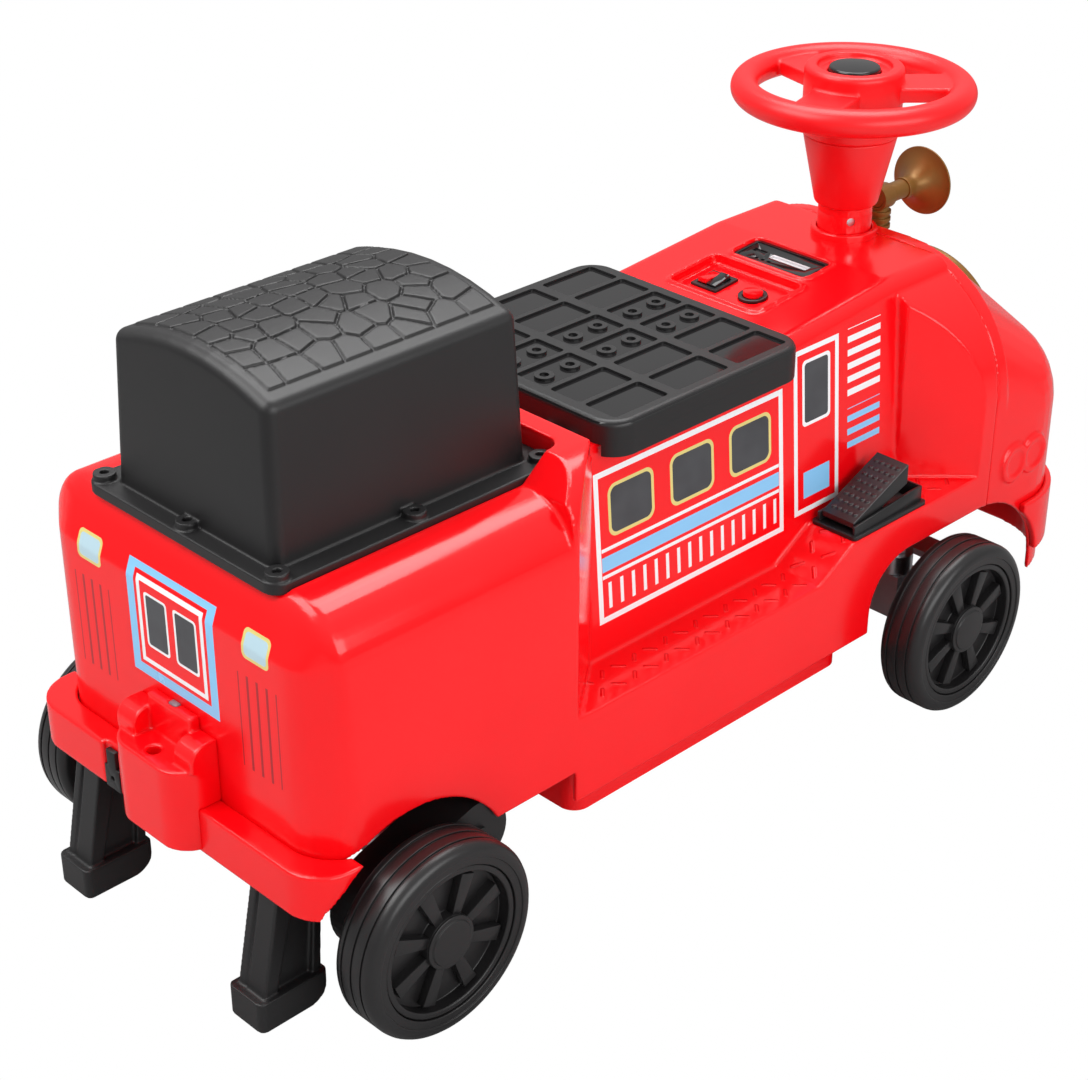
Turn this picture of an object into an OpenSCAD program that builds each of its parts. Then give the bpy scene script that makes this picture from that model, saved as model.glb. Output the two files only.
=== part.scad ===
// Battery ride-on train: moulded body with tender box, lift-up seat, steered
// front wheels, driven rear axle, horn, dash switches and stabiliser legs.
// X points forward, Y to the left, Z up. The origin is on the floor, at the
// middle of the whole toy.

/* [Overall] */
// Length from the stabiliser feet to the front bumper
overall_length = 873; // [860:1:890]
// Width over the sides of the body
body_width = 306; // [298:1:312]
// Height of the dash deck above the floor
deck_z = 351; // [346:1:358]
// Wall of the moulded shells
wall = 4; // [3:0.5:5]
// Height of the lower edge of the side skirts
skirt_z = 90; // [86:1:96]

/* [Wheels] */
// Diameter of the tyres
wheel_d = 146; // [140:1:148]
// Width of the tyres
tyre_w = 38; // [36:1:42]
// From the front axle to the front bumper
front_overhang = 202; // [198:1:206]
// From the stabiliser feet to the rear axle
rear_overhang = 106; // [103:1:110]
// Diameter of the axles
axle_d = 10; // [8:0.5:12]
// Diameter of the spoked trim
trim_d = 114; // [108:1:118]
// Diameter of the centre caps
cap_d = 40; // [37:1:42]
// Number of spokes
spoke_count = 8; // [6:1:10]

/* [Tender] */
// Height of the tender's top
tender_top_z = 327; // [322:1:330]
// Radius of the side shoulders
shoulder_r = 42; // [36:1:46]
// Radius of the upright rear corners
corner_r = 40; // [34:1:44]
// Height of the coal box at its edges
box_h = 111; // [100:1:116]
// Margin of the body beside the box's screw flange
flange_side = 51; // [50:0.5:54]
// Width of the screw flange along the foot of the box
flange_lip = 14; // [12:0.5:18]
// Thickness of the box's screw flange
flange_t = 8; // [6:0.5:10]

/* [Seat] */
// Height of the seat lid's edge
seat_h = 18; // [16:1:20]
// Width of each footwell at its floor
well_w = 47; // [44:1:50]
// How far each side of the tunnel leans in towards the deck
tunnel_lean = 13; // [8:1:16]
// How far the seat lid reaches out over the foot of the tunnel
seat_over = 6; // [3:1:8]
// Diameter of the seat's hinge pins
hinge_d = 6; // [5:0.5:7]

/* [Steering] */
// From the front axle forward to the steering column
column_ahead = 45.5; // [42:0.5:48]
// Outer diameter of the steering wheel
rim_d = 194; // [186:1:198]
// Thickness of the steering wheel's rim
rim_t = 22; // [20:0.5:24]
// Height of the rim's centre line
rim_z = 471; // [466:1:474]
// Diameter of the horn button
button_d = 41; // [36:1:43]
// Radius of the crank at the rod's foot
crank_r = 37; // [34:1:40]

/* [Hidden] */

// Fits
over = 1;          // overrun of every cut
seat_gap = 0.3;    // gap between pieces that sit together
run_gap = 0.05;    // radial running clearance of pins and shafts
slot_gap = 1;      // gap round pieces that pass through a slot
slice = 0.5;       // thickness of the slices that a loft joins
round_fn = 64;     // facets of true rounds
loft_fn = 40;      // facets of lofted corners
$fn = round_fn;

// Stations along the toy
rear_end = -overall_length / 2;
front_end = overall_length / 2;
half_w = body_width / 2;
wheel_r = wheel_d / 2;
rear_axle_x = rear_end + rear_overhang;
front_axle_x = front_end - front_overhang;
wheelbase = front_axle_x - rear_axle_x;
column_x = front_axle_x + column_ahead;
wheel_gap = 0.5;
wheel_in_y = half_w + wheel_gap;
tail_gap = 36;
tender_rear_x = rear_end + tail_gap;
tender_share = 0.499115;
tender_len = wheelbase * tender_share;
tender_front_x = tender_rear_x + tender_len;
tunnel_half = half_w - well_w;
tunnel_top_half = tunnel_half - tunnel_lean;
seam_ahead = 62.5;
seam_x = front_axle_x + seam_ahead;
bar_proud = 6;
nose_x = front_end - bar_proud;

// Body sizes
tender_base_z = 116;
rear_lean = 6;
rear_edge_r = 18;
cowl_r = 108;
band_len = 14;
tunnel_edge_r = 12;
floor_z = 160;
ramp_z = 182;
ramp_len = 40;
ramp_front = 112;
ramp_end_x = front_axle_x - ramp_front;
ramp_start_x = ramp_end_x - ramp_len;
pillar_len = 59;
scoop_len = 48;
scoop_back = 65;
well_rear_x = tender_front_x;
well_front_x = seam_x - scoop_back;
rib_t = 16.5;
rib_z = 345;
rib_ramp = 22;
seat_back_gap = 14;
rib_front_back = 8.5;
rib_front_x = tender_front_x - rib_front_back;
rib_rear_x = rib_front_x - rib_t;
seat_z = rib_z - seat_h;
seat_rear_x = rib_front_x + seat_back_gap + rib_front_back;
seat_share = 0.366372;
seat_len = wheelbase * seat_share;
seat_w = 2 * (tunnel_half + seat_over);
seat_front_x = seat_rear_x + seat_len;
dash_gap = 1.5;
dash_x = seat_front_x + dash_gap;
dash_drop = 11;
dash_low_z = deck_z - dash_drop;
dash_end_back = 6;
dash_end_x = well_front_x - dash_end_back;
dash_tilt = atan((deck_z - dash_low_z) / (dash_end_x - dash_x));
bay_r = 8;
bay_front_inset = 16;
bay_rear_inset = 6;
bay_side = 22;

// Wheel arches
rear_arch_gap = 15;
front_arch_rear = 86;
front_arch_front = 137;
front_arch_z = 150;
front_arch_rear_r = 45;
front_arch_front_r = 85;

// Chassis
deck_plate_z = 116;
plate_t = 4;
plate_rear_in = 45;
plate_rear_half = half_w - plate_rear_in;
plate_front_in = 53;
plate_front_half = half_w - plate_front_in;
plate_wide_rear = 92;
plate_wide_front = 100;
pan_z = 57;
pan_in = 23;
pan_half = half_w - pan_in;
pan_rear_gap = 100;
pan_share = 0.534513;
pan_len = wheelbase * pan_share;
pan_corner_r = 14;
pan_rear_x = rear_axle_x + wheel_r + pan_rear_gap;
pan_mid_x = pan_rear_x + pan_len / 2;
boss_r = 8;
boss_in = 13;
boss_y = half_w - boss_in;
boss_x_shares = [0.2, 0.75];
screw_r = 2.5;
screw_head_r = 4.5;
screw_head_h = 3;
screw_len = 24;

// Rear bumper and towing block
bumper_z = 112;
bumper_h = 35.5;
bumper_back = 18;
bumper_side = 9;
bumper_r = 32;
bumper_ease = 2;
hitch_half = 42;
hitch_reach = 34;
hitch_r = 24;
hitch_z = 115;
hitch_h = 63;
hitch_lobe_h = 18;
hitch_lobe_w = 20;
hitch_lobe_d = 22;
hitch_lobe_r = 12;
hitch_plate_h = 28;
hitch_plate_half = 24;
hitch_plate_t = 8;
hitch_slot_w = 9;
hitch_slot_d = 5;
tow_pin_r = 5;
tow_pin_back = 12;
tow_hole_len = 28;
tongue_h = 34;
clip_y = 62;
clip_w = 17;
clip_h = 18;
clip_t = 4;
clip_neck_w = 10;
clip_neck_h = 14;
clip_hole_r = 2;

// Stabiliser legs
leg_in = 53;
leg_y = half_w - leg_in;
leg_w = 28;
leg_rear_gap = 4;
leg_front_gap = 4;
leg_rear_lean = 18;
leg_front_lean = 6;
leg_groove_w = 3;
leg_groove_in = 7;
foot_w = 36;
foot_len = 58;
foot_z = 13;
foot_h = 24;
foot_r = 5;
toe_r = 18;
leg_recess = 4;
leg_border = 7;

// Coal box
flange_back = 10;
flange_front_back = 26;
flange_len = tender_len - flange_back - flange_front_back;
flange_w = body_width - 2 * flange_side;
box_side_more = 3;
box_len = flange_len - 2 * flange_lip;
box_w = flange_w - 2 * (flange_lip + box_side_more);
flange_r = 12;
rebate = 4;
box_draft = 4;
box_r = 9;
box_wall = 3.5;
box_crown = 13;
crown_steps = 4;
stone_rise = 2;
stone_rim = 12;
stone_cols = 9;
stone_rows = 7;
stone_gap = 2;
stone_jitter_share = 0.62;
boss_h = 5;
flange_boss_r = 8;
flange_boss_inset = 10;
tender_screw_r = 3;

// Seat lid
seat_r = 22;
seat_skin = 5;
seat_cols = 6;
seat_rows = 3;
seat_margin = 8;
seat_rib = 9;
seat_panel_depth = 2;
seat_panel_r = 3;
ring_r = 7.5;
ring_hole_r = 3.6;
ring_space = 26;
hinge_y = 60;
hinge_lug_w = 16;
hinge_lug_r = 5;
hinge_back = 3.5;
hinge_drop = 5;
ear_w = 6;
hinge_plate_len = 9;

// Wheel sections, as distances outward from the inner face
groove_count = 3;
groove_w = 1.6;
groove_d = 1.4;
tyre_edge_r = 8;
tyre_step = 1;
tyre_step_w = 6;
hub_r = 20;
hub_len = 20;
rim_wall = 10;
web_in = 12;
web_out = 22;
trim_gap = 0.3;
trim_floor_t = 4;
trim_ring_w = 5;
trim_ring_h = 14;
spoke_rise = 8;
spoke_step = 1;
spoke_hub_w = 7;
spoke_tip_w = 12;
spoke_gap = 3;
trim_hub_w = 5;
trim_hole_r = 13;
cap_t = 3.5;
cap_plug_r = 12.8;
cap_plug_wall = 2;
cap_plug_len = 5;
nut_r = 9;
nut_t = 7;

// Rear drive
gearbox_in = 41;
gearbox_y = half_w - gearbox_in;
gearbox_t = 37;
gearbox_r = 40;
gearbox_arm_x = 62;
gearbox_arm_z = 34;
gearbox_arm_r = 26;
gearbox_lug_len = 24;
gearbox_lug_w = 14;
gearbox_boss_r = 7;
gearbox_boss_t = 3;
motor_r = 18;
motor_len = 52;
motor_x = 34;
motor_z = 20;
motor_shaft_r = 5;
bracket_t = 18;
bracket_r = 22;
bracket_foot = 40;

// Front steering
kingpin_in = 41;
kingpin_y = half_w - kingpin_in;
kingpin_r = 5;
beam_deep = 28;
beam_h = 16;
knuckle_w = 26;
knuckle_z = 60;
arm_w = 14;
arm_z = 66;
arm_t = 7.7;
rod_bar_t = 6;
rod_bar_edge = 5;
link_pin_r = 4;
link_gap = 0.9;
link_slot_back = 6;
link_pin_len = 12;
crank_z = 88;
crank_t = 8;
crank_w = 16;
rod_r = 6;
pin_head_r = 8;
pin_head_h = 3;

// Steering column
collar_r = 27;
collar_h = 13;
sleeve_r = 22;
sleeve_gap = 0.6;
sleeve_depth = 18;
cup_z = 371;
cup_foot_r = 24;
cup_top_r = 38;
cup_top_z = 436;
cup_wall = 3;
column_screw_r = 3.5;
column_screw_t = 2;
column_screw_up = 4;
hub_top_r = 39.5;
hub_top_z = 491;
hub_ring_depth = 5;
hub_ring_w = 9;
hub_edge_r = 4;
spoke_w = 40;
spoke_t = 12;
steer_spokes = 3;
steer_turn = 76;
button_h = 10;
button_travel = 3;
button_floor = 14;
button_drop = 2;

// Dash
pocket_at = 43.7;
pocket_len = 55;
pocket_half = 45;
pocket_lip = 3;
pocket_lip_h = 2.5;
pocket_depth = 6;
pocket_r = 5;
media_at = 98.4;
media_len = 33;
media_half = 38;
media_t = 6;
media_rim = 2.5;
media_rim_d = 1;
media_slot_len = 36;
media_slot_w = 5;
media_slot_d = 2.5;
media_slot_y = -8;
media_port_len = 13;
media_port_y = 24;
media_key_r = 1.6;
media_key_y = 12;
dual_y = 22;
dual_len = 27;
dual_w = 26;
dual_lip = 2;
dual_body_h = 14;
rocker_len = 19;
rocker_w = 9.5;
rocker_gap = 0.5;
rocker_tilt = 9;
rocker_rise = 4;
rocker_drop = 7;
rocker_pin_r = 1.5;
round_y = -18;
round_r = 11.5;
round_rocker_r = 8.3;
round_lip = 1;

// Horn and headlamp
horn_ahead = 47;
horn_z = 368.5;
horn_tube_r = 8;
horn_tube_len = 36;
horn_bell_len = 26;
horn_mouth_r = 28;
horn_wall = 2.5;
flare_steps = 8;
horn_post_r = 7;
horn_post_drop = 40;
horn_rib_r = 9;
horn_rib_h = 3;
horn_rib_count = 3;
lamp_back = 16.5;
lamp_z = 247;
lamp_tilt = 15;
lamp_r = 60;
lamp_depth = 50;
lamp_wall = 8;
lamp_lens_t = 7;
lamp_lens_back = 4;

// Nose
nose_base_z = 60;
nose_r = 72;
nose_cap_z = 208;
nose_drop = 7;
dome_r = 105;
dome_x = 15;
dome_y = 10;
dome_z = 231;
bar_z = 82;
bar_h = 52;
bar_wrap = 85;
lamp_pad_x = 45;
lamp_pad_z = 178;
lamp_pad_space = 27;
lamp_pad_r = 17;
lamp_pad_rise = 3;
lamp_dish_r = 12;

// Pedal
pedal_x = 2;
pedal_len = 90;
pedal_w = 44;
pedal_base_t = 3;
pedal_rim = 3.5;
pedal_wall = 2;
pedal_heel_wall = 10;
pedal_toe_wall = 16;
pedal_toe_flat = 14;
pedal_pin_r = 2;
pedal_pin_up = 7;
pedal_pin_in = 11.5;
pedal_boss_r = 3.7;
pedal_heel_back = 6;
pedal_heel_h = 4.5;
pedal_toe_z = 39;
pedal_side_h = 16;
pedal_side_gap = 0.7;
pedal_back_gap = 14;
pedal_under = 4;
dot_r = 1.5;
dot_rise = 0.8;
dot_cols = 5;
dot_rows = 8;
spring_r = 6;
spring_wire_r = 0.8;
spring_turns = 5;
spring_ring_count = 8;
spring_sides = 6;
spring_ahead = 42;

// Battery
battery_len = 70;
battery_w = 48;
battery_h = 100;
battery_x = -25;
battery_rib_t = 3;
battery_rib_h = 10;
terminal_r = 3;
terminal_h = 5;

// Places that several pieces share
red = "#e8141c";
black = "#1c1a1b";
steel = "silver";
brass = "#8a6320";
link_x = column_x + crank_r;
flange_z = tender_top_z - rebate;
flange_rear_x = tender_rear_x + flange_back;
box_mid_x = flange_rear_x + flange_len / 2;
stone_half_x = box_len / 2 - box_draft - stone_rim;
stone_half_y = box_w / 2 - box_draft - stone_rim;
hinge_x = seat_rear_x - hinge_back;
hinge_z = seat_z - hinge_drop;
pedal_rear_x = ramp_end_x + pedal_x;
pedal_y = -(tunnel_half + half_w) / 2;
pedal_pin_x = pedal_rear_x + pedal_pin_in;
pedal_pin_z = ramp_z + pedal_pin_up;
pedal_toe_x = pedal_rear_x + pedal_len - pedal_rim - pedal_wall - pedal_back_gap;
horn_x = column_x + horn_ahead;

// Outline with rounded corners, between two corner points
module round_rect(x0, y0, x1, y1, r) {
  translate([x0 + r, y0]) square([x1 - x0 - 2 * r, y1 - y0]);
  translate([x0, y0 + r]) square([x1 - x0, y1 - y0 - 2 * r]);
  for (x = [x0 + r, x1 - r], y = [y0 + r, y1 - r]) translate([x, y]) circle(r);
}

// Plate with rounded corners
module round_plate(x0, y0, x1, y1, r, z, h) {
  translate([0, 0, z]) linear_extrude(h) round_rect(x0, y0, x1, y1, r);
}

// Plate with rounded corners round a middle point
module mid_plate(x, y, half_x, half_y, r, z, h) {
  round_plate(x - half_x, y - half_y, x + half_x, y + half_y, r, z, h);
}

// Extrudes an outline drawn in X and Z along Y, between two places
module along_y(y0, y1) {
  translate([0, y1, 0]) rotate([90, 0, 0]) linear_extrude(y1 - y0) children();
}

// Extrudes an outline drawn in Y and Z along X, between two places
module along_x(x0, x1) {
  translate([x0, 0, 0]) rotate([90, 0, 90]) linear_extrude(x1 - x0) children();
}

// Cylinder along Y, between two places
module rod_y(x, z, r, y0, y1) {
  translate([x, y1, z]) rotate([90, 0, 0]) cylinder(r = r, h = y1 - y0);
}

// Cylinder along Y on one side, between two distances from the middle
module side_rod(side, x, z, r, near, far) {
  rod_y(x, z, r, min(side * near, side * far), max(side * near, side * far));
}

// Cross-section of the body: flat sides and a roof with round shoulders
module section(half, base, top, r) {
  translate([-half, base]) square([2 * half, top - r - base]);
  translate([-(half - r), base]) square([2 * (half - r), top - base]);
  for (side = [-1, 1]) translate([side * (half - r), top - r]) circle(r);
}

// Solid form of the tender half, shrunk by inset
module tender_form(inset, low) {
  r = shoulder_r - inset;
  hull() {
    for (side = [-1, 1]) {
      translate([tender_rear_x + corner_r, side * (half_w - corner_r), low])
        cylinder(r = corner_r - inset, h = tender_top_z - shoulder_r - low, $fn = loft_fn);
      translate([tender_rear_x + rear_lean + rear_edge_r, side * (half_w - shoulder_r),
        tender_top_z - shoulder_r])
        scale([(rear_edge_r - inset) / r, 1, 1]) sphere(r, $fn = loft_fn);
    }
    along_x(tender_front_x - slice, tender_front_x)
      section(half_w - inset, low, tender_top_z - inset, r, $fn = loft_fn);
  }
}

// Cross-section of the tunnel: sides that lean in, and rounded upper edges
module tunnel_section(inset, low, top) {
  draft = tunnel_lean / (deck_z - ramp_z);
  lean = atan(draft);
  r = tunnel_edge_r - inset;
  low_half = tunnel_half - (low - ramp_z) * draft - inset;
  top_half = tunnel_half - (top - ramp_z) * draft - inset;
  mid = top_half + r * tan(lean) - r / cos(lean);
  edge = mid + r * cos(lean);
  edge_z = top - r + r * sin(lean);
  polygon([[-low_half, low], [low_half, low], [edge, edge_z], [mid, top], [-mid, top], [-edge, edge_z]]);
  for (side = [-1, 1]) translate([side * mid, top - r]) circle(r);
}

// Solid form of the tunnel and the rising dash deck, shrunk by inset
module tunnel_form(inset, low) {
  along_x(rib_rear_x + inset, dash_x - slice) tunnel_section(inset, low, deck_z - inset);
  hull() {
    along_x(dash_x - over, dash_x) tunnel_section(inset, low, dash_low_z - inset, $fn = loft_fn);
    along_x(dash_end_x - slice, dash_end_x) tunnel_section(inset, low, deck_z - inset, $fn = loft_fn);
  }
  along_x(dash_end_x - slice, seam_x + inset) tunnel_section(inset, low, deck_z - inset);
}

// Solid form of the floor and the cowl, shrunk by inset
module base_form(inset, low) {
  along_x(tender_front_x - pillar_len - over, seam_x + inset)
    translate([-(half_w - inset), low]) square([2 * (half_w - inset), ramp_z - low]);
  along_x(dash_end_x + inset, seam_x + inset)
    section(half_w - inset, low, deck_z - inset, cowl_r - inset);
}

// Foot space on both sides, grown by the wall where it shapes the inside
module foot_wells(grow) {
  slant = pillar_len / well_w;
  front_slant = scoop_len / well_w;
  reach = well_w + grow + wall;
  inner = tunnel_top_half - tunnel_edge_r - grow;
  corner = tunnel_half - grow;
  low = floor_z - grow;
  high = ramp_z - grow;
  top = deck_z + over;
  for (side = [-1, 1]) intersection() {
    translate([0, 0, low - over]) linear_extrude(top - low + 2 * over) polygon([
      [well_rear_x - grow, side * inner],
      [well_front_x + grow, side * inner],
      [well_front_x + grow, side * corner],
      [well_front_x + grow + front_slant * reach, side * (corner + reach)],
      [well_rear_x - grow - slant * reach, side * (corner + reach)],
      [well_rear_x - grow, side * corner]]);
    along_y(-half_w - wall - over, half_w + wall + over) polygon([
      [tender_rear_x, low],
      [ramp_start_x, low],
      [ramp_end_x, high],
      [nose_x, high],
      [nose_x, top],
      [tender_rear_x, top]]);
  }
}

// Space for the seat lid and the step behind it
module seat_notch(grow) {
  translate([rib_front_x - grow, -half_w, seat_z - grow])
    cube([dash_x + 2 * grow - rib_front_x, body_width, deck_z - seat_z + over + grow]);
}

// Space above the rib behind the seat
module rib_trim(grow) {
  translate([rib_rear_x - over, -half_w, rib_z - grow])
    cube([rib_t + 2 * over, body_width, deck_z - rib_z + over + grow]);
}

// Raised front corners of the tender, which wrap the box flange
module tender_humps() {
  intersection() {
    along_x(rib_rear_x - rib_ramp - rib_t, rib_front_x) section(half_w, tender_base_z, rib_z, shoulder_r);
    along_y(-half_w, half_w) polygon([
      [rib_front_x, tender_base_z],
      [rib_front_x, rib_z],
      [rib_rear_x - rib_t, rib_z],
      [rib_rear_x - rib_t - rib_ramp, tender_top_z],
      [rib_rear_x - rib_t - rib_ramp, tender_base_z]]);
  }
}

// Opening of the front wheel arch, drawn in X and Z
module front_arch_outline() {
  x0 = front_axle_x - front_arch_rear;
  x1 = front_axle_x + front_arch_front;
  translate([x0, 0]) square([front_arch_rear_r, front_arch_z - front_arch_rear_r]);
  translate([x0 + front_arch_rear_r, 0])
    square([x1 - x0 - front_arch_rear_r - front_arch_front_r, front_arch_z]);
  translate([x1 - front_arch_front_r, 0]) square([front_arch_front_r, front_arch_z - front_arch_front_r]);
  translate([x0 + front_arch_rear_r, front_arch_z - front_arch_rear_r]) circle(front_arch_rear_r);
  translate([x1 - front_arch_front_r, front_arch_z - front_arch_front_r]) circle(front_arch_front_r);
}

module front_arches() {
  for (side = [-1, 1]) {
    near = side * (half_w + bar_proud + over);
    far = side * plate_front_half;
    along_y(min(near, far), max(near, far)) front_arch_outline();
  }
}

module rear_arches() {
  for (side = [-1, 1])
    side_rod(side, rear_axle_x, wheel_r, wheel_r + rear_arch_gap, plate_rear_half,
      half_w + bumper_side + over);
}

// Puts a piece at each screw between the chassis and the body
module at_bosses(z) {
  for (share = boss_x_shares, side = [-1, 1])
    translate([pan_rear_x + pan_len * share, side * boss_y, z]) children();
}

// Puts a piece on the rising dash: X runs up the deck, Z stands off it
module on_dash() {
  translate([dash_x, 0, dash_low_z]) rotate([0, -dash_tilt, 0]) children();
}

// Space inside the body
module body_hollow() {
  difference() {
    union() {
      difference() {
        union() {
          tender_form(wall, tender_base_z - over);
          base_form(wall, skirt_z - over);
        }
        foot_wells(wall);
      }
      tunnel_form(wall, skirt_z - over);
    }
    seat_notch(wall);
    rib_trim(wall);
    translate([flange_rear_x - over, -half_w, flange_z - wall])
      cube([flange_len + 2 * over, body_width, wall + rebate + over]);
  }
}

module body_shell() {
  color(red) difference() {
    union() {
      difference() {
        union() {
          difference() {
            union() {
              tender_form(0, tender_base_z);
              tender_humps();
              base_form(0, skirt_z);
            }
            foot_wells(0);
          }
          tunnel_form(0, skirt_z);
        }
        seat_notch(0);
        rib_trim(0);
        body_hollow();
      }
      at_bosses(deck_plate_z + plate_t)
        cylinder(r = boss_r, h = floor_z - deck_plate_z - plate_t - wall / 2);
      // Thicker deck under the switch pocket and the player panel
      intersection() {
        on_dash() translate([pocket_at - pocket_len / 2 - wall, -pocket_half - wall, -media_t - wall])
          cube([media_at + media_len / 2 - pocket_at + pocket_len / 2 + 2 * wall,
            2 * (pocket_half + wall), media_t + wall + over]);
        tunnel_form(0, ramp_z);
      }
      dash_lips();
    }
    // Rebate that the box flange lies in
    mid_plate(box_mid_x, 0, flange_len / 2 + seat_gap, flange_w / 2 + seat_gap, flange_r, flange_z,
      rib_z - flange_z + over);
    front_arches();
    rear_arches();
    // Bay under the seat
    round_plate(seat_rear_x + bay_rear_inset, -tunnel_half + bay_side, seat_front_x - bay_front_inset,
      tunnel_half - bay_side, bay_r, seat_z - wall - over, wall + 2 * over);
    // Slots for the hinge lugs and ears
    for (side = [-1, 1])
      translate([hinge_x - hinge_lug_r - slot_gap, side * hinge_y - hinge_lug_w / 2 - ear_w - slot_gap,
        seat_z - wall - over])
        cube([hinge_lug_r + hinge_back + bay_rear_inset + 2 * slot_gap,
          hinge_lug_w + 2 * (ear_w + slot_gap), wall + 2 * over]);
    dash_cuts();
    // Column passage
    translate([column_x, 0, deck_z - wall - over])
      cylinder(r = sleeve_r + sleeve_gap, h = wall + 2 * over);
    at_bosses(deck_plate_z) cylinder(r = screw_r + seat_gap, h = floor_z - deck_plate_z - wall);
  }
}

// Raised lips round the switch pocket and the player panel
module dash_lips() {
  areas = [[pocket_at, pocket_len / 2, pocket_half], [media_at, media_len / 2, media_half]];
  for (area = areas) on_dash() difference() {
    mid_plate(area[0], 0, area[1] + pocket_lip, area[2] + pocket_lip, pocket_r + pocket_lip,
      -over, pocket_lip_h + over);
    mid_plate(area[0], 0, area[1], area[2], pocket_r, -2 * over, pocket_lip_h + 4 * over);
  }
}

module dash_cuts() {
  through = media_t + wall + over;
  on_dash() {
    // Switch pocket
    mid_plate(pocket_at, 0, pocket_len / 2, pocket_half, pocket_r, -pocket_depth,
      pocket_depth + pocket_lip_h + over);
    // Through holes for the two switches
    translate([pocket_at - dual_len / 2 + dual_lip, dual_y - dual_w / 2 + dual_lip, -through])
      cube([dual_len - 2 * dual_lip, dual_w - 2 * dual_lip, through]);
    translate([pocket_at, round_y, -through]) cylinder(r = round_r - round_lip, h = through);
    // Seat of the player panel
    mid_plate(media_at, 0, media_len / 2, media_half, pocket_r, -media_t, media_t + pocket_lip_h + over);
  }
}

// Solid form of the nose and the raised band behind it, shrunk by inset
module nose_form(inset, low) {
  along_x(seam_x - inset, seam_x + band_len - inset)
    section(half_w - inset, low, deck_z - inset, cowl_r - inset);
  hull() {
    along_x(seam_x, seam_x + slice)
      section(half_w - inset, low, deck_z - nose_drop - inset, cowl_r - inset, $fn = loft_fn);
    for (side = [-1, 1]) {
      translate([nose_x - nose_r, side * (half_w - nose_r), low])
        cylinder(r = nose_r - inset, h = nose_cap_z - low, $fn = loft_fn);
      translate([nose_x - nose_r, side * (half_w - nose_r), nose_cap_z])
        sphere(nose_r - inset, $fn = loft_fn);
      translate([seam_x + dome_x, side * dome_y, dome_z]) sphere(dome_r - inset, $fn = loft_fn);
    }
  }
}

// Puts a piece on the lamp's axis, with Z out of the lamp
module on_lamp() {
  translate([front_end - lamp_back, 0, lamp_z]) rotate([0, 90 - lamp_tilt, 0]) children();
}

module front_fascia() {
  color(red) difference() {
    union() {
      nose_form(0, nose_base_z);
      // Round lamp pads on both cheeks
      for (side = [-1, 1], place = [-1, 1])
        side_rod(side, seam_x + lamp_pad_x + place * lamp_pad_space / 2, lamp_pad_z, lamp_pad_r,
          half_w - wall, half_w + lamp_pad_rise);
    }
    nose_form(wall, nose_base_z - over);
    // The nose stops at the seam, where it is open to the body
    translate([seam_x - body_width, -half_w - over, 0])
      cube([body_width, body_width + 2 * over, deck_z + over]);
    for (side = [-1, 1], place = [-1, 1])
      side_rod(side, seam_x + lamp_pad_x + place * lamp_pad_space / 2, lamp_pad_z, lamp_dish_r,
        half_w + lamp_pad_rise / 2, half_w + lamp_pad_rise + over);
    front_arches();
    // Passages for the column, the horn post and the lamp
    translate([column_x, 0, 0]) cylinder(r = sleeve_r + sleeve_gap, h = deck_z + over);
    translate([horn_x, 0, 0]) cylinder(r = horn_post_r + seat_gap, h = deck_z + over);
    on_lamp() translate([0, 0, -lamp_depth]) cylinder(r = lamp_r + seat_gap, h = lamp_depth + lamp_r);
  }
}

// Upright block of the nose's plan shape, grown by a margin
module nose_prism(grow, z, h) {
  translate([seam_x, -(half_w + grow), z]) cube([nose_x - nose_r - seam_x, body_width + 2 * grow, h]);
  translate([seam_x, -(half_w - nose_r), z]) cube([nose_x + grow - seam_x, 2 * (half_w - nose_r), h]);
  for (side = [-1, 1]) translate([nose_x - nose_r, side * (half_w - nose_r), z])
    cylinder(r = nose_r + grow, h = h);
}

module front_bumper() {
  rear_x = nose_x - bar_wrap;
  color(red) difference() {
    nose_prism(bar_proud, bar_z, bar_h);
    nose_prism(0, bar_z - over, bar_h + 2 * over);
    translate([seam_x - nose_r, -half_w - bar_proud - over, bar_z - over])
      cube([rear_x - seam_x + nose_r, body_width + 2 * (bar_proud + over), bar_h + 2 * over]);
    front_arches();
  }
}

// Outline of the tender seen from above, grown by a margin
module tender_plan(back, side_grow, r) {
  half = half_w + side_grow;
  x0 = tender_rear_x - back;
  translate([x0 + r, -half]) square([rear_axle_x - x0 - r, 2 * half]);
  translate([x0, -(half - r)]) square([rear_axle_x - x0, 2 * (half - r)]);
  for (side = [-1, 1]) translate([x0 + r, side * (half - r)]) circle(r);
}

module rear_bumper() {
  color(red) difference() {
    translate([0, 0, bumper_z]) linear_extrude(bumper_h) difference() {
      tender_plan(bumper_back, bumper_side, bumper_r);
      tender_plan(0, seat_gap, corner_r - bumper_ease);
    }
    rear_arches();
    translate([tender_rear_x - bumper_back - over, clip_y - clip_w / 2 - seat_gap, bumper_z])
      cube([clip_t + over, clip_w + 2 * seat_gap, bumper_h + over]);
  }
}

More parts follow.
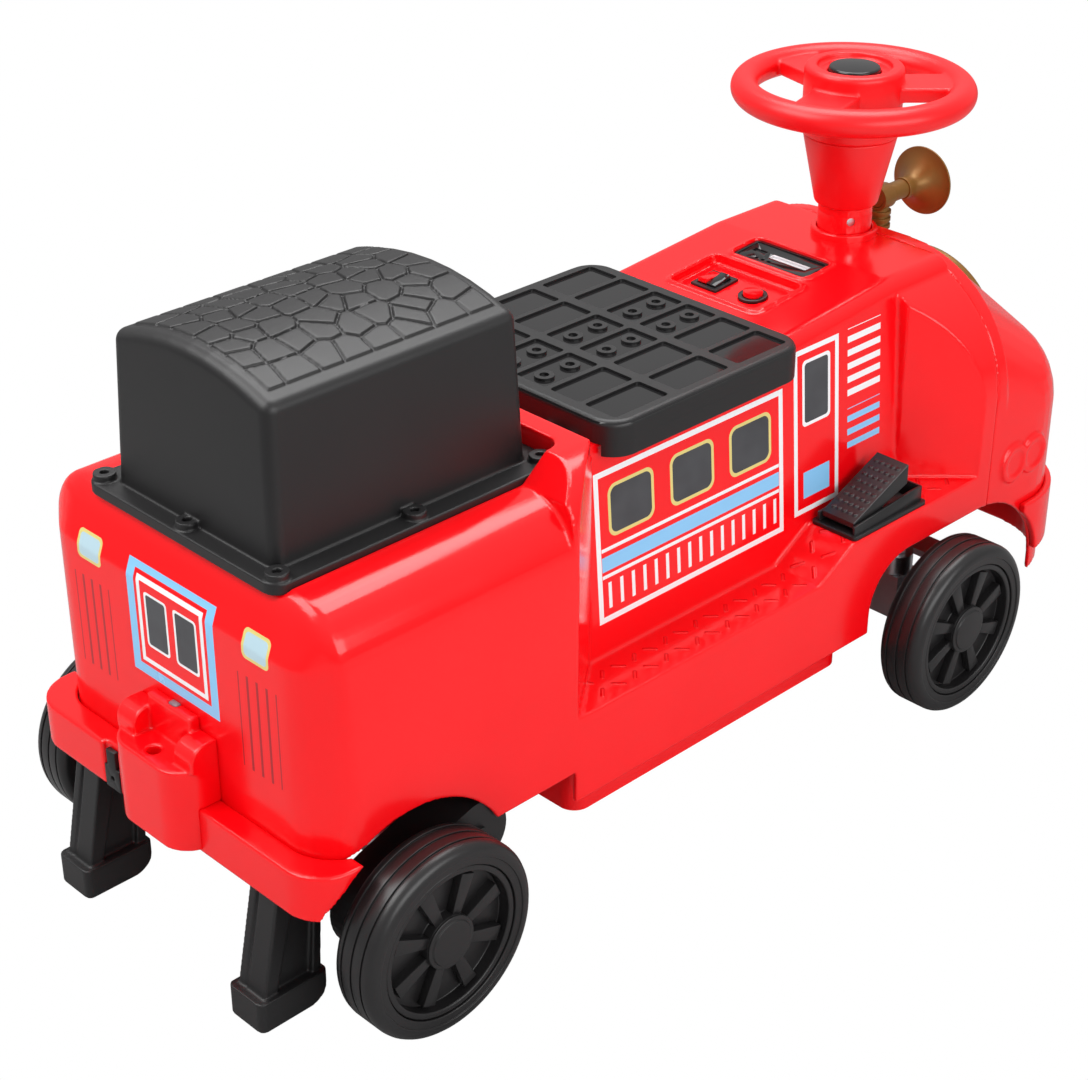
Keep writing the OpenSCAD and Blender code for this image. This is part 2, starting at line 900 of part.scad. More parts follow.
// Towing block: rounded block over the bumper, two lobes and a slotted back plate
module hitch_pocket() {
  top = hitch_z + hitch_h;
  lobe_x = tender_rear_x - hitch_lobe_d;
  color(red) difference() {
    union() {
      round_plate(tender_rear_x - hitch_reach, -hitch_half, tender_rear_x + hitch_r, hitch_half,
        hitch_r, hitch_z, hitch_h);
      for (side = [-1, 1]) {
        y = side * (hitch_half - hitch_lobe_w / 2);
        along_y(y - hitch_lobe_w / 2, y + hitch_lobe_w / 2) {
          translate([lobe_x + hitch_lobe_r, top - over])
            square([hitch_lobe_d - hitch_lobe_r, hitch_lobe_h + over]);
          translate([lobe_x, top - over]) square([hitch_lobe_d, hitch_lobe_h - hitch_lobe_r + over]);
          translate([lobe_x + hitch_lobe_r, top + hitch_lobe_h - hitch_lobe_r]) circle(hitch_lobe_r);
        }
      }
      translate([tender_rear_x - hitch_plate_t, -hitch_plate_half, top - over])
        cube([hitch_plate_t, 2 * hitch_plate_half, hitch_plate_h + over]);
    }
    // The block stops at the tender's skin and steps over the bumper
    translate([tender_rear_x, -hitch_half - over, 0])
      cube([hitch_r + over, 2 * (hitch_half + over), deck_z]);
    translate([tender_rear_x - bumper_back, -hitch_half - over, 0])
      cube([bumper_back + over, 2 * (hitch_half + over), bumper_z + bumper_h]);
    // Slot for the tongue and the tow pin's hole
    translate([tender_rear_x - hitch_slot_d, -hitch_slot_w / 2, top - over])
      cube([hitch_slot_d + over, hitch_slot_w, tongue_h]);
    translate([tender_rear_x - hitch_reach + tow_pin_back, 0, top - tow_hole_len])
      cylinder(r = tow_pin_r, h = tow_hole_len + over);
  }
}

module hitch_tongue() {
  color("#b49aa6")
    translate([tender_rear_x - hitch_slot_d + seat_gap, -hitch_slot_w / 2 + seat_gap,
      hitch_z + hitch_h - over])
      cube([hitch_slot_d - seat_gap, hitch_slot_w - 2 * seat_gap, tongue_h - hitch_slot_d]);
}

module hitch_clip() {
  face = tender_rear_x - bumper_back;
  color(black) difference() {
    union() {
      translate([face, clip_y - clip_w / 2, bumper_z]) cube([clip_t - seat_gap, clip_w, clip_h]);
      translate([face, clip_y - clip_neck_w / 2, bumper_z + clip_h - over])
        cube([clip_t - seat_gap, clip_neck_w, clip_neck_h + over]);
    }
    translate([face - over, clip_y, bumper_z + clip_h / 2]) rotate([0, 90, 0])
      cylinder(r = clip_hole_r, h = clip_t + over);
  }
}

// Tapered block with rounded edges and a crowned top, for the coal box
module box_form(inset, z0) {
  foot = [box_len / 2 - inset - box_r, box_w / 2 - inset - box_r];
  head = [foot[0] - box_draft, foot[1] - box_draft];
  top = flange_z + flange_t + box_h - box_r - inset;
  hull() for (sx = [-1, 1]) {
    for (sy = [-1, 1])
      translate([box_mid_x + sx * foot[0], sy * foot[1], z0]) cylinder(r = box_r, h = slice, $fn = loft_fn);
    for (k = [-crown_steps:crown_steps]) {
      share = k / crown_steps;
      translate([box_mid_x + sx * head[0], share * head[1], top + box_crown * (1 - share * share)])
        sphere(box_r, $fn = loft_fn);
    }
  }
}

// Seed of one coal lump, a jittered place in the grid
function hash(a, b) = let (v = sin(a * 127.1 + b * 311.7) * 43758.5) v - floor(v);
function seed(c, r) = [
  box_mid_x + stone_half_x * (2 * (c + 0.5 + (hash(c, r) - 0.5) * stone_jitter_share) / stone_cols - 1),
  stone_half_y * (2 * (r + 0.5 + (hash(r + 7, c + 3) - 0.5) * stone_jitter_share) / stone_rows - 1)];

// Cuts a convex outline at the line halfway between two seeds, less half the gap
function side_of(p, m, d) = (p - m) * d;
function clip_line(poly, m, d) = [for (i = [0:len(poly) - 1])
  let (a = poly[i], b = poly[(i + 1) % len(poly)], sa = side_of(a, m, d), sb = side_of(b, m, d))
  each concat(sa <= 0 ? [a] : [], sa * sb < 0 ? [a + (b - a) * sa / (sa - sb)] : [])];
function clip_all(poly, s, others, i) = i >= len(others) || len(poly) < 3 ? poly :
  let (d = (others[i] - s) / norm(others[i] - s), m = (others[i] + s) / 2 - d * stone_gap / 2)
  clip_all(clip_line(poly, m, d), s, others, i + 1);
function near_seeds(c, r) = [for (dc = [-2:2], dr = [-2:2]) if ((dc != 0 || dr != 0)
  && c + dc >= 0 && c + dc < stone_cols && r + dr >= 0 && r + dr < stone_rows) seed(c + dc, r + dr)];
function stone(c, r) = clip_all([for (k = [[-1, -1], [1, -1], [1, 1], [-1, 1]])
  [box_mid_x + k[0] * stone_half_x, k[1] * stone_half_y]], seed(c, r), near_seeds(c, r), 0);

// Puts a piece at each flange boss: the corners and the middles of the sides
module at_flange_bosses(z) {
  for (sx = [-1:1], sy = [-1:1]) if (sx != 0 || sy != 0)
    translate([box_mid_x + sx * (flange_len / 2 - flange_boss_inset),
      sy * (flange_w / 2 - flange_boss_inset), z])
      children();
}

module tender_box() {
  z1 = flange_z + flange_t;
  crown_half = box_w / 2 - box_draft - box_r;
  crown_top = z1 + box_h + box_crown;
  arc_r = (crown_half * crown_half + box_crown * box_crown) / (2 * box_crown);
  color(black) difference() {
    union() {
      mid_plate(box_mid_x, 0, flange_len / 2, flange_w / 2, flange_r, flange_z, flange_t);
      box_form(0, z1 - slice);
      at_flange_bosses(z1 - over) cylinder(r = flange_boss_r, h = boss_h + over);
      // Coal lumps that follow the crown
      intersection() {
        translate([0, 0, z1 + box_h / 2]) linear_extrude(box_h)
          for (c = [0:stone_cols - 1], r = [0:stone_rows - 1]) polygon(stone(c, r));
        along_x(box_mid_x - box_len / 2, box_mid_x + box_len / 2)
          translate([0, crown_top - arc_r]) circle(arc_r + stone_rise);
      }
    }
    box_form(box_wall, flange_z - over);
    at_flange_bosses(flange_z - over)
      cylinder(r = tender_screw_r + run_gap, h = flange_t + boss_h + 2 * over);
  }
}

module tender_screws() {
  color(steel) at_flange_bosses(flange_z) cylinder(r = tender_screw_r, h = flange_t + boss_h / 2);
}

// Stabiliser leg: leaning box with sunk flanks, a rear groove and a wider foot
module anti_tip_leg(side) {
  rear_low = rear_end + leg_rear_gap;
  front_low = rear_end + foot_len - leg_front_gap;
  rear_top = rear_low + leg_rear_lean;
  front_top = front_low + leg_front_lean;
  step_x = tender_rear_x + seat_gap;
  knee = foot_z + foot_h / 2;
  toe = rear_end + foot_len;
  y0 = side * leg_y - leg_w / 2;
  color(black) difference() {
    union() {
      along_y(y0, y0 + leg_w) polygon([
        [rear_low, knee],
        [front_low, knee],
        [front_top, deck_plate_z],
        [step_x, deck_plate_z],
        [step_x, bumper_z],
        [rear_top, bumper_z]]);
      intersection() {
        mid_plate(rear_end + foot_len / 2, side * leg_y, foot_len / 2, foot_w / 2, foot_r, foot_z,
          foot_h);
        along_y(side * leg_y - foot_w / 2, side * leg_y + foot_w / 2) {
          translate([rear_end, foot_z]) square([foot_len - toe_r, foot_h]);
          translate([rear_end, foot_z + toe_r]) square([foot_len, foot_h - toe_r]);
          translate([toe - toe_r, foot_z + toe_r]) circle(toe_r);
        }
      }
    }
    for (face = [-1, 1]) {
      flank = side * leg_y + face * leg_w / 2;
      deep = flank - face * leg_recess;
      free = flank + face * over;
      along_y(min(deep, free), max(deep, free)) polygon([
        [rear_low + 2 * leg_border, foot_z + foot_h],
        [front_low - leg_border, foot_z + foot_h],
        [front_top - leg_border, bumper_z - leg_border],
        [rear_top + 2 * leg_border, bumper_z - leg_border]]);
    }
    // Groove down the rear face
    groove_y = side * leg_y + leg_w / 2 - leg_groove_in;
    along_y(groove_y - leg_groove_w, groove_y) polygon([
      [rear_low - over, foot_z + foot_h],
      [rear_low + leg_groove_w, foot_z + foot_h],
      [rear_top + leg_groove_w, bumper_z],
      [rear_top - over, bumper_z]]);
  }
}
module anti_tip_leg_left() { anti_tip_leg(1); }
module anti_tip_leg_right() { anti_tip_leg(-1); }

// Outline of the chassis plate seen from above
module plate_plan() {
  rear_x = tender_rear_x + wall + seat_gap;
  wide_x = rear_axle_x + plate_wide_rear;
  front_wide = front_axle_x - plate_wide_front;
  inner = half_w - wall - seat_gap;
  translate([rear_x, -plate_rear_half]) square([front_wide - rear_x, 2 * plate_rear_half]);
  translate([wide_x, -inner]) square([front_wide - wide_x, 2 * inner]);
  translate([front_wide, -plate_front_half])
    square([link_x - front_wide - crank_r / 2, 2 * plate_front_half]);
}

module chassis_pan() {
  color(red) difference() {
    union() {
      translate([0, 0, deck_plate_z]) linear_extrude(plate_t) plate_plan();
      mid_plate(pan_mid_x, 0, pan_len / 2, pan_half, pan_corner_r, pan_z, deck_plate_z - pan_z + slice);
    }
    mid_plate(pan_mid_x, 0, pan_len / 2 - wall, pan_half - wall, pan_corner_r - wall, pan_z + wall,
      deck_plate_z + plate_t - pan_z);
    // Bush of the steering rod
    translate([column_x, 0, deck_plate_z - over]) cylinder(r = rod_r + run_gap, h = plate_t + 2 * over);
    at_bosses(deck_plate_z - over) cylinder(r = screw_r + seat_gap, h = plate_t + 2 * over);
  }
  // Ribs that hold the battery
  color(red) translate([0, 0, pan_z + wall - slice]) linear_extrude(battery_rib_h + slice) difference() {
    translate([battery_x - battery_len / 2 - battery_rib_t, -battery_w / 2 - battery_rib_t])
      square([battery_len + 2 * battery_rib_t, battery_w + 2 * battery_rib_t]);
    translate([battery_x - battery_len / 2 - seat_gap, -battery_w / 2 - seat_gap])
      square([battery_len + 2 * seat_gap, battery_w + 2 * seat_gap]);
  }
}

module body_screws() {
  color(steel) at_bosses(deck_plate_z - screw_head_h) {
    cylinder(r = screw_head_r, h = screw_head_h);
    cylinder(r = screw_r, h = screw_len);
  }
}

module battery() {
  z = pan_z + wall;
  color("#3c4250") {
    translate([battery_x - battery_len / 2, -battery_w / 2, z]) cube([battery_len, battery_w, battery_h]);
    for (side = [-1, 1]) translate([battery_x, side * battery_w / 4, z + battery_h - over])
      cylinder(r = terminal_r, h = terminal_h + over);
  }
}

// Seat lid: grid of panels, with buttons on the two middle rows
module seat() {
  z1 = seat_z + seat_h;
  cell_x = (seat_len - 2 * seat_margin) / seat_rows;
  cell_y = (seat_w - 2 * seat_margin) / seat_cols;
  half = seat_w / 2;
  color(black) difference() {
    union() {
      difference() {
        round_plate(seat_rear_x, -half, seat_front_x, half, seat_r, seat_z, seat_h);
        round_plate(seat_rear_x + bay_rear_inset, -tunnel_half + bay_side, seat_front_x - bay_front_inset,
          tunnel_half - bay_side, bay_r, seat_z - over, seat_h - seat_skin + over);
        for (i = [0:seat_rows - 1], j = [0:seat_cols - 1]) {
          x = seat_rear_x + seat_margin + i * cell_x + seat_rib / 2;
          y = -half + seat_margin + j * cell_y + seat_rib / 4;
          round_plate(x, y, x + cell_x - seat_rib, y + cell_y - seat_rib / 2, seat_panel_r,
            z1 - seat_panel_depth,
            seat_panel_depth + over);
        }
      }
      for (i = [0:seat_rows - 1], j = [seat_cols / 2 - 1, seat_cols / 2], place = [-1, 1])
        translate([seat_rear_x + seat_margin + (i + 1 / 2) * cell_x + place * ring_space / 2,
          -half + seat_margin + (j + 1 / 2) * cell_y, z1 - seat_panel_depth - slice]) difference() {
          cylinder(r = ring_r, h = seat_panel_depth + slice);
          translate([0, 0, slice]) cylinder(r = ring_hole_r, h = seat_panel_depth + over);
        }
      for (side = [-1, 1])
        along_y(side * hinge_y - hinge_lug_w / 2, side * hinge_y + hinge_lug_w / 2) {
          translate([hinge_x, hinge_z]) circle(hinge_lug_r);
          translate([hinge_x, hinge_z - hinge_lug_r])
            square([hinge_back + bay_rear_inset, hinge_lug_r + hinge_drop + slice]);
        }
    }
    for (side = [-1, 1])
      rod_y(hinge_x, hinge_z, hinge_d / 2 + run_gap, side * hinge_y - hinge_lug_w / 2 - over,
        side * hinge_y + hinge_lug_w / 2 + over);
  }
}

// Bracket under the deck edge behind the bay, with ears and pins
module seat_hinge() {
  top = seat_z - wall;
  ear_rear = hinge_x - hinge_lug_r - hinge_plate_len;
  color(steel) for (side = [-1, 1]) {
    for (face = [-1, 1]) {
      y = side * hinge_y + face * (hinge_lug_w / 2 + seat_gap + ear_w / 2);
      along_y(y - ear_w / 2, y + ear_w / 2) {
        translate([hinge_x, hinge_z]) circle(hinge_lug_r);
        translate([ear_rear, hinge_z - hinge_lug_r])
          square([hinge_x - ear_rear, top - hinge_z + hinge_lug_r]);
      }
    }
    translate([ear_rear, side * hinge_y - hinge_lug_w / 2 - ear_w, hinge_z - hinge_lug_r])
      cube([hinge_plate_len - seat_gap, hinge_lug_w + 2 * ear_w, top - hinge_z + hinge_lug_r]);
    rod_y(hinge_x, hinge_z, hinge_d / 2, side * hinge_y - hinge_lug_w / 2 - ear_w,
      side * hinge_y + hinge_lug_w / 2 + ear_w);
  }
}

// Tyre in section: tread with grooves, side step, web and hub
module tyre_solid() {
  rotate_extrude() difference() {
    union() {
      translate([0, tyre_edge_r]) square([wheel_r, tyre_w - 2 * tyre_edge_r]);
      square([wheel_r - tyre_edge_r, tyre_w]);
      for (a = [tyre_edge_r, tyre_w - tyre_edge_r]) translate([wheel_r - tyre_edge_r, a])
        circle(tyre_edge_r);
    }
    for (i = [1:groove_count])
      translate([wheel_r - groove_d, tyre_w * i / (groove_count + 1) - groove_w / 2])
        square([groove_d + over, groove_w]);
    // Step in the outer side wall
    translate([0, tyre_w - tyre_step]) square([trim_d / 2 + tyre_step_w, tyre_step + over]);
    // Seat of the trim
    translate([0, web_out]) square([trim_d / 2 + trim_gap, tyre_w]);
    // Hollow on the inner side
    translate([hub_r, -over]) square([wheel_r - rim_wall - hub_r, web_in + over]);
    // Room for the nut, and the bore
    translate([0, hub_len]) square([trim_hole_r, tyre_w]);
    translate([0, -over]) square([axle_d / 2 + run_gap, tyre_w]);
  }
}

// Spoked trim: floor, outer ring, raised spokes and hub ring
module trim_solid() {
  r_in = trim_d / 2 - trim_ring_w;
  translate([0, 0, web_out]) {
    rotate_extrude() {
      translate([trim_hole_r, 0]) square([trim_d / 2 - trim_hole_r, trim_floor_t]);
      translate([r_in, 0]) square([trim_ring_w, trim_ring_h]);
      translate([trim_hole_r, 0]) square([cap_d / 2 - trim_hole_r, trim_floor_t + spoke_rise]);
    }
    for (i = [0:spoke_count - 1]) rotate([0, 0, (i + 1 / 2) * 360 / spoke_count])
      translate([0, 0, trim_floor_t - slice]) linear_extrude(spoke_rise - spoke_step + slice) polygon([
        [cap_d / 2 - trim_hub_w, -spoke_hub_w / 2],
        [r_in - spoke_gap, -spoke_tip_w / 2],
        [r_in - spoke_gap, spoke_tip_w / 2],
        [cap_d / 2 - trim_hub_w, spoke_hub_w / 2]]);
  }
}

// Centre cap with a plug that sits in the trim's hub
module cap_solid() {
  face = web_out + trim_floor_t + spoke_rise;
  translate([0, 0, face]) rotate_extrude() {
    square([cap_d / 2 - cap_t, cap_t]);
    square([cap_d / 2, cap_t / 2]);
    translate([cap_plug_r - cap_plug_wall, -cap_plug_len]) square([cap_plug_wall, cap_plug_len + slice]);
  }
}

// Puts a wheel piece on its axle, with its outer face outward
module on_axle(x, side) {
  translate([x, side * wheel_in_y, wheel_r]) rotate([-90 * side, 0, 0]) children();
}

module tyre_rear_left() { color(black) on_axle(rear_axle_x, 1) tyre_solid(); }
module trim_rear_left() { color(black) on_axle(rear_axle_x, 1) trim_solid(); }
module cap_rear_left() { color(black) on_axle(rear_axle_x, 1) cap_solid(); }
module tyre_rear_right() { color(black) on_axle(rear_axle_x, -1) tyre_solid(); }
module trim_rear_right() { color(black) on_axle(rear_axle_x, -1) trim_solid(); }
module cap_rear_right() { color(black) on_axle(rear_axle_x, -1) cap_solid(); }
module tyre_front_left() { color(black) on_axle(front_axle_x, 1) tyre_solid(); }
module trim_front_left() { color(black) on_axle(front_axle_x, 1) trim_solid(); }
module cap_front_left() { color(black) on_axle(front_axle_x, 1) cap_solid(); }
module tyre_front_right() { color(black) on_axle(front_axle_x, -1) tyre_solid(); }
module trim_front_right() { color(black) on_axle(front_axle_x, -1) trim_solid(); }
module cap_front_right() { color(black) on_axle(front_axle_x, -1) cap_solid(); }

// Nut on an axle end, outside the wheel's hub
module nut_solid() {
  translate([0, 0, hub_len + seat_gap]) difference() {
    cylinder(r = nut_r, h = nut_t, $fn = 6);
    translate([0, 0, -over]) cylinder(r = axle_d / 2, h = nut_t + 2 * over);
  }
}

module rear_axle() {
  tip = wheel_in_y + hub_len + seat_gap + nut_t;
  color(steel) rod_y(rear_axle_x, wheel_r, axle_d / 2, -tip, tip);
}

module axle_nuts() {
  color(steel) for (side = [-1, 1]) on_axle(rear_axle_x, side) nut_solid();
}

// Gear housing on the right: round at the axle, with an arm up to the front
module gearbox() {
  y1 = -gearbox_y;
  y0 = y1 - gearbox_t;
  arm = [rear_axle_x + gearbox_arm_x, wheel_r + gearbox_arm_z];
  color(black) difference() {
    union() {
      along_y(y0, y1) hull() {
        translate([rear_axle_x, wheel_r]) circle(gearbox_r, $fn = loft_fn);
        translate(arm) circle(gearbox_arm_r, $fn = loft_fn);
      }
      translate([arm[0], y1 - over, deck_plate_z - gearbox_lug_w])
        cube([gearbox_lug_len, gearbox_lug_w + over, gearbox_lug_w]);
      rod_y(arm[0], arm[1], gearbox_boss_r, y0 - gearbox_boss_t, y0 + over);
    }
    rod_y(rear_axle_x, wheel_r, axle_d / 2, y0 - over, y1 + over);
  }
}

module drive_motor() {
  x = rear_axle_x + motor_x;
  z = wheel_r + motor_z - motor_shaft_r;
  color(steel) {
    rod_y(x, z, motor_r, -gearbox_y, -gearbox_y + motor_len);
    rod_y(x, z, motor_shaft_r, -gearbox_y + motor_len - over, -gearbox_y + motor_len + motor_shaft_r);
  }
}

// Plain bearing bracket on the left
module axle_bracket() {
  y1 = half_w - wall;
  y0 = plate_rear_half - bracket_t;
  color(black) difference() {
    union() {
      rod_y(rear_axle_x, wheel_r, bracket_r, y0, y1);
      along_y(y0, plate_rear_half)
        translate([rear_axle_x - bracket_foot / 2, wheel_r])
          square([bracket_foot, deck_plate_z - wheel_r]);
    }
    rod_y(rear_axle_x, wheel_r, axle_d / 2, y0 - over, y1 + over);
  }
}

// Beam under the chassis with an upright eye at each end
module front_beam() {
  z0 = deck_plate_z - beam_h;
  color(steel) difference() {
    union() {
      translate([front_axle_x - beam_deep / 2, -kingpin_y, z0]) cube([beam_deep, 2 * kingpin_y, beam_h]);
      for (side = [-1, 1]) translate([front_axle_x, side * kingpin_y, z0])
        cylinder(r = beam_deep / 2, h = beam_h);
    }
    for (side = [-1, 1]) translate([front_axle_x, side * kingpin_y, z0 - over])
      cylinder(r = kingpin_r + run_gap, h = beam_h + 2 * over);
  }
}

// Steering knuckle: kingpin, block, stub axle and forward arm
module knuckle(side) {
  top = deck_plate_z - beam_h - seat_gap;
  tip = wheel_in_y + hub_len + seat_gap + nut_t;
  color(steel) {
    translate([front_axle_x - knuckle_w / 2, side * kingpin_y - knuckle_w / 2, knuckle_z])
      cube([knuckle_w, knuckle_w, top - knuckle_z]);
    translate([front_axle_x, side * kingpin_y, top - over])
      cylinder(r = kingpin_r, h = beam_h + 2 * seat_gap + over + pin_head_h / 2);
    translate([front_axle_x, side * kingpin_y, deck_plate_z + seat_gap])
      cylinder(r = pin_head_r, h = pin_head_h);
    side_rod(side, front_axle_x, wheel_r, axle_d / 2, kingpin_y, tip);
    hull() {
      translate([front_axle_x, side * kingpin_y, arm_z])
        cylinder(r = arm_w / 2, h = arm_t, $fn = loft_fn);
      translate([link_x, side * kingpin_y, arm_z]) cylinder(r = arm_w / 2, h = arm_t, $fn = loft_fn);
    }
    translate([link_x, side * kingpin_y, arm_z]) cylinder(r = link_pin_r, h = arm_t + link_pin_len);
  }
}
module knuckle_left() { knuckle(1); }
module knuckle_right() { knuckle(-1); }
module stub_nut_left() { color(steel) on_axle(front_axle_x, 1) nut_solid(); }
module stub_nut_right() { color(steel) on_axle(front_axle_x, -1) nut_solid(); }

// Bar with three slots that let the pins swing
module tie_rod() {
  slot_r = link_pin_r + link_gap;
  half = kingpin_y + slot_r + rod_bar_edge;
  z0 = arm_z + arm_t + seat_gap;
  color(steel) difference() {
    round_plate(link_x - slot_r - link_slot_back - rod_bar_edge, -half, link_x + slot_r + rod_bar_edge,
      half,
      rod_bar_edge, z0, rod_bar_t);
    for (y = [-kingpin_y, 0, kingpin_y])
      round_plate(link_x - slot_r - link_slot_back, y - slot_r, link_x + slot_r, y + slot_r, link_pin_r,
        z0 - over,
        rod_bar_t + 2 * over);
  }
}

// Upright steel rod with its crank and pin
module steering_rod() {
  top = rim_z - rim_t;
  color(steel) {
    translate([column_x, 0, crank_z]) cylinder(r = rod_r, h = top - crank_z);
    round_plate(column_x - crank_w / 2, -crank_w / 2, link_x + crank_w / 2, crank_w / 2,
      crank_w / 2 - slice, crank_z, crank_t);
    translate([link_x, 0, arm_z + arm_t + seat_gap])
      cylinder(r = link_pin_r, h = crank_z - arm_z - arm_t);
  }
}

module column_collar() {
  color(red) translate([column_x, 0, deck_z]) difference() {
    cylinder(r = collar_r, h = collar_h);
    translate([0, 0, -over]) cylinder(r = sleeve_r + sleeve_gap, h = collar_h + 2 * over);
  }
}

module column_sleeve() {
  z0 = deck_z - sleeve_depth;
  color(red) translate([column_x, 0, z0]) difference() {
    cylinder(r = sleeve_r, h = cup_z - z0);
    translate([0, 0, -over]) cylinder(r = rod_r, h = cup_z - z0 + 2 * over);
    translate([0, 0, cup_z - z0 - column_screw_up]) rotate([0, 90, -90 - steer_turn / 2])
      cylinder(r = column_screw_r, h = sleeve_r + over);
  }
}

module column_screw() {
  color(steel) translate([column_x, 0, cup_z - column_screw_up]) rotate([0, 90, -90 - steer_turn / 2])
    translate([0, 0, rod_r]) cylinder(r = column_screw_r, h = sleeve_r - rod_r - column_screw_t / 2);
}

module steering_cup() {
  color(red) translate([column_x, 0, 0]) rotate_extrude() difference() {
    polygon([[0, cup_z], [cup_foot_r, cup_z], [cup_top_r, cup_top_z], [0, cup_top_z]]);
    translate([0, cup_z - over]) square([rod_r, cup_top_z - cup_z + 2 * over]);
    polygon([[rod_r + cup_wall, cup_z + cup_wall], [cup_foot_r - cup_wall, cup_z + cup_wall],
      [cup_top_r - cup_wall, cup_top_z - cup_wall], [rod_r + cup_wall, cup_top_z - cup_wall]]);
  }
}

// Rim, hub and three broad spokes
module steering_wheel() {
  rim_r = rim_d / 2 - rim_t / 2;
  hub_floor = hub_top_z - button_floor;
  color(red) translate([column_x, 0, 0]) difference() {
    union() {
      rotate_extrude() translate([rim_r, rim_z]) circle(rim_t / 2);
      rotate_extrude() {
        translate([0, cup_top_z]) square([hub_top_r - hub_edge_r, hub_top_z - cup_top_z]);
        translate([0, cup_top_z]) square([hub_top_r, hub_top_z - hub_edge_r - cup_top_z]);
        translate([hub_top_r - hub_edge_r, hub_top_z - hub_edge_r]) circle(hub_edge_r);
      }
      for (i = [0:steer_spokes - 1]) rotate([0, 0, steer_turn + i * 360 / steer_spokes])
        translate([hub_top_r - hub_edge_r, -spoke_w / 2, rim_z - spoke_t / 2])
          cube([rim_r - hub_top_r + hub_edge_r, spoke_w, spoke_t]);
    }
    translate([0, 0, hub_floor]) cylinder(r = button_d / 2 + seat_gap, h = button_floor + over);
    translate([0, 0, hub_top_z - hub_ring_depth])
      cylinder(r = button_d / 2 + hub_ring_w, h = hub_ring_depth + over);
    translate([0, 0, cup_top_z - over]) cylinder(r = rod_r, h = rim_z - rim_t - cup_top_z + over);
  }
}

module horn_button() {
  color(black)
    translate([column_x, 0, hub_top_z - button_floor + button_travel + seat_gap]) rotate_extrude() {
    square([button_d / 2, button_h - button_drop]);
    square([button_d / 2 - button_drop, button_h]);
    translate([button_d / 2 - button_drop, button_h - button_drop]) circle(button_drop);
  }
}

// Player panel: raised rim, long slot, short port and a row of keys, all plain
module media_panel() {
  rim = seat_gap + media_rim;
  color(black) on_dash() difference() {
    mid_plate(media_at, 0, media_len / 2 - seat_gap, media_half - seat_gap, pocket_r - seat_gap,
      -media_t, media_t);
    mid_plate(media_at, 0, media_len / 2 - rim, media_half - rim, media_rim, -media_rim_d,
      media_rim_d + over);
    translate([media_at - media_slot_w / 2, media_slot_y - media_slot_len / 2, -media_slot_d])
      cube([media_slot_w, media_slot_len, media_slot_d + over]);
    translate([media_at, media_port_y - media_port_len / 2, -media_slot_d])
      cube([media_slot_w, media_port_len, media_slot_d + over]);
    for (i = [-1:1])
      translate([media_at - media_len / 4, media_key_y + i * 4 * media_key_r, -media_slot_d])
      cylinder(r = media_key_r, h = media_slot_d + over);
  }
}

// Twin switch: lip on the pocket floor, body below, two wells for the rockers
module dual_switch_housing() {
  inner = dual_lip + seat_gap;
  color(black) on_dash() {
    difference() {
      union() {
        translate([pocket_at - dual_len / 2, dual_y - dual_w / 2, -pocket_depth])
          cube([dual_len, dual_w, dual_lip]);
        translate([pocket_at - dual_len / 2 + inner, dual_y - dual_w / 2 + inner,
          -pocket_depth - dual_body_h])
          cube([dual_len - 2 * inner, dual_w - 2 * inner, dual_body_h + over]);
      }
      for (place = [-1, 1]) rocker_well(dual_y + place * rocker_w / 2, rocker_w);
    }
    rod_y(pocket_at, -pocket_depth + dual_lip / 2, rocker_pin_r, dual_y - rocker_w - slice,
      dual_y + rocker_w + slice);
  }
}

// Well of one rocker in the twin switch
module rocker_well(y, w) {
  translate([pocket_at - rocker_len / 2 - rocker_gap, y - w / 2,
    -pocket_depth - rocker_drop - rocker_gap])
    cube([rocker_len + 2 * rocker_gap, w, rocker_drop + rocker_gap + dual_lip + over]);
}

// Rocker key with a shallow valley, tilted to one side at rest
module rocker(y, w, tilt) {
  half = rocker_len / 2;
  on_dash() translate([pocket_at, y, -pocket_depth + dual_lip / 2]) rotate([0, tilt, 0])
    along_y(-w / 2 + rocker_gap / 2, w / 2 - rocker_gap / 2) difference() {
      polygon([
        [-half + rocker_gap, rocker_rise],
        [0, rocker_rise - rocker_gap],
        [half - rocker_gap, rocker_rise],
        [half - rocker_gap, 0],
        [rocker_drop / 2, -rocker_drop / 2],
        [-rocker_drop / 2, -rocker_drop / 2],
        [-half + rocker_gap, 0]]);
      circle(rocker_pin_r + run_gap);
    }
}
module rocker_red() { color(red) rocker(dual_y + rocker_w / 2, rocker_w, rocker_tilt); }
module rocker_black() { color(black) rocker(dual_y - rocker_w / 2, rocker_w, -rocker_tilt); }

module round_switch_housing() {
  color(black) on_dash() {
    translate([pocket_at, round_y, -pocket_depth]) difference() {
      union() {
        cylinder(r = round_r, h = dual_lip);
        translate([0, 0, -dual_body_h])
          cylinder(r = round_r - round_lip - seat_gap, h = dual_body_h + over);
      }
      translate([0, 0, -rocker_drop - rocker_gap])
        cylinder(r = round_rocker_r, h = dual_body_h + rocker_drop);
    }
    rod_y(pocket_at, -pocket_depth + dual_lip / 2, rocker_pin_r, round_y - round_rocker_r - slice,
      round_y + round_rocker_r + slice);
  }
}

module rocker_power() {
  color(red) on_dash() translate([pocket_at, round_y, -pocket_depth + dual_lip / 2])
    rotate([0, rocker_tilt, 0])
    difference() {
      union() {
        cylinder(r = round_rocker_r - rocker_gap, h = rocker_rise);
        translate([0, 0, -rocker_drop / 2]) cylinder(r = rocker_drop / 2, h = rocker_drop);
      }
      rod_y(0, 0, rocker_pin_r + run_gap, -round_r, round_r);
    }
}

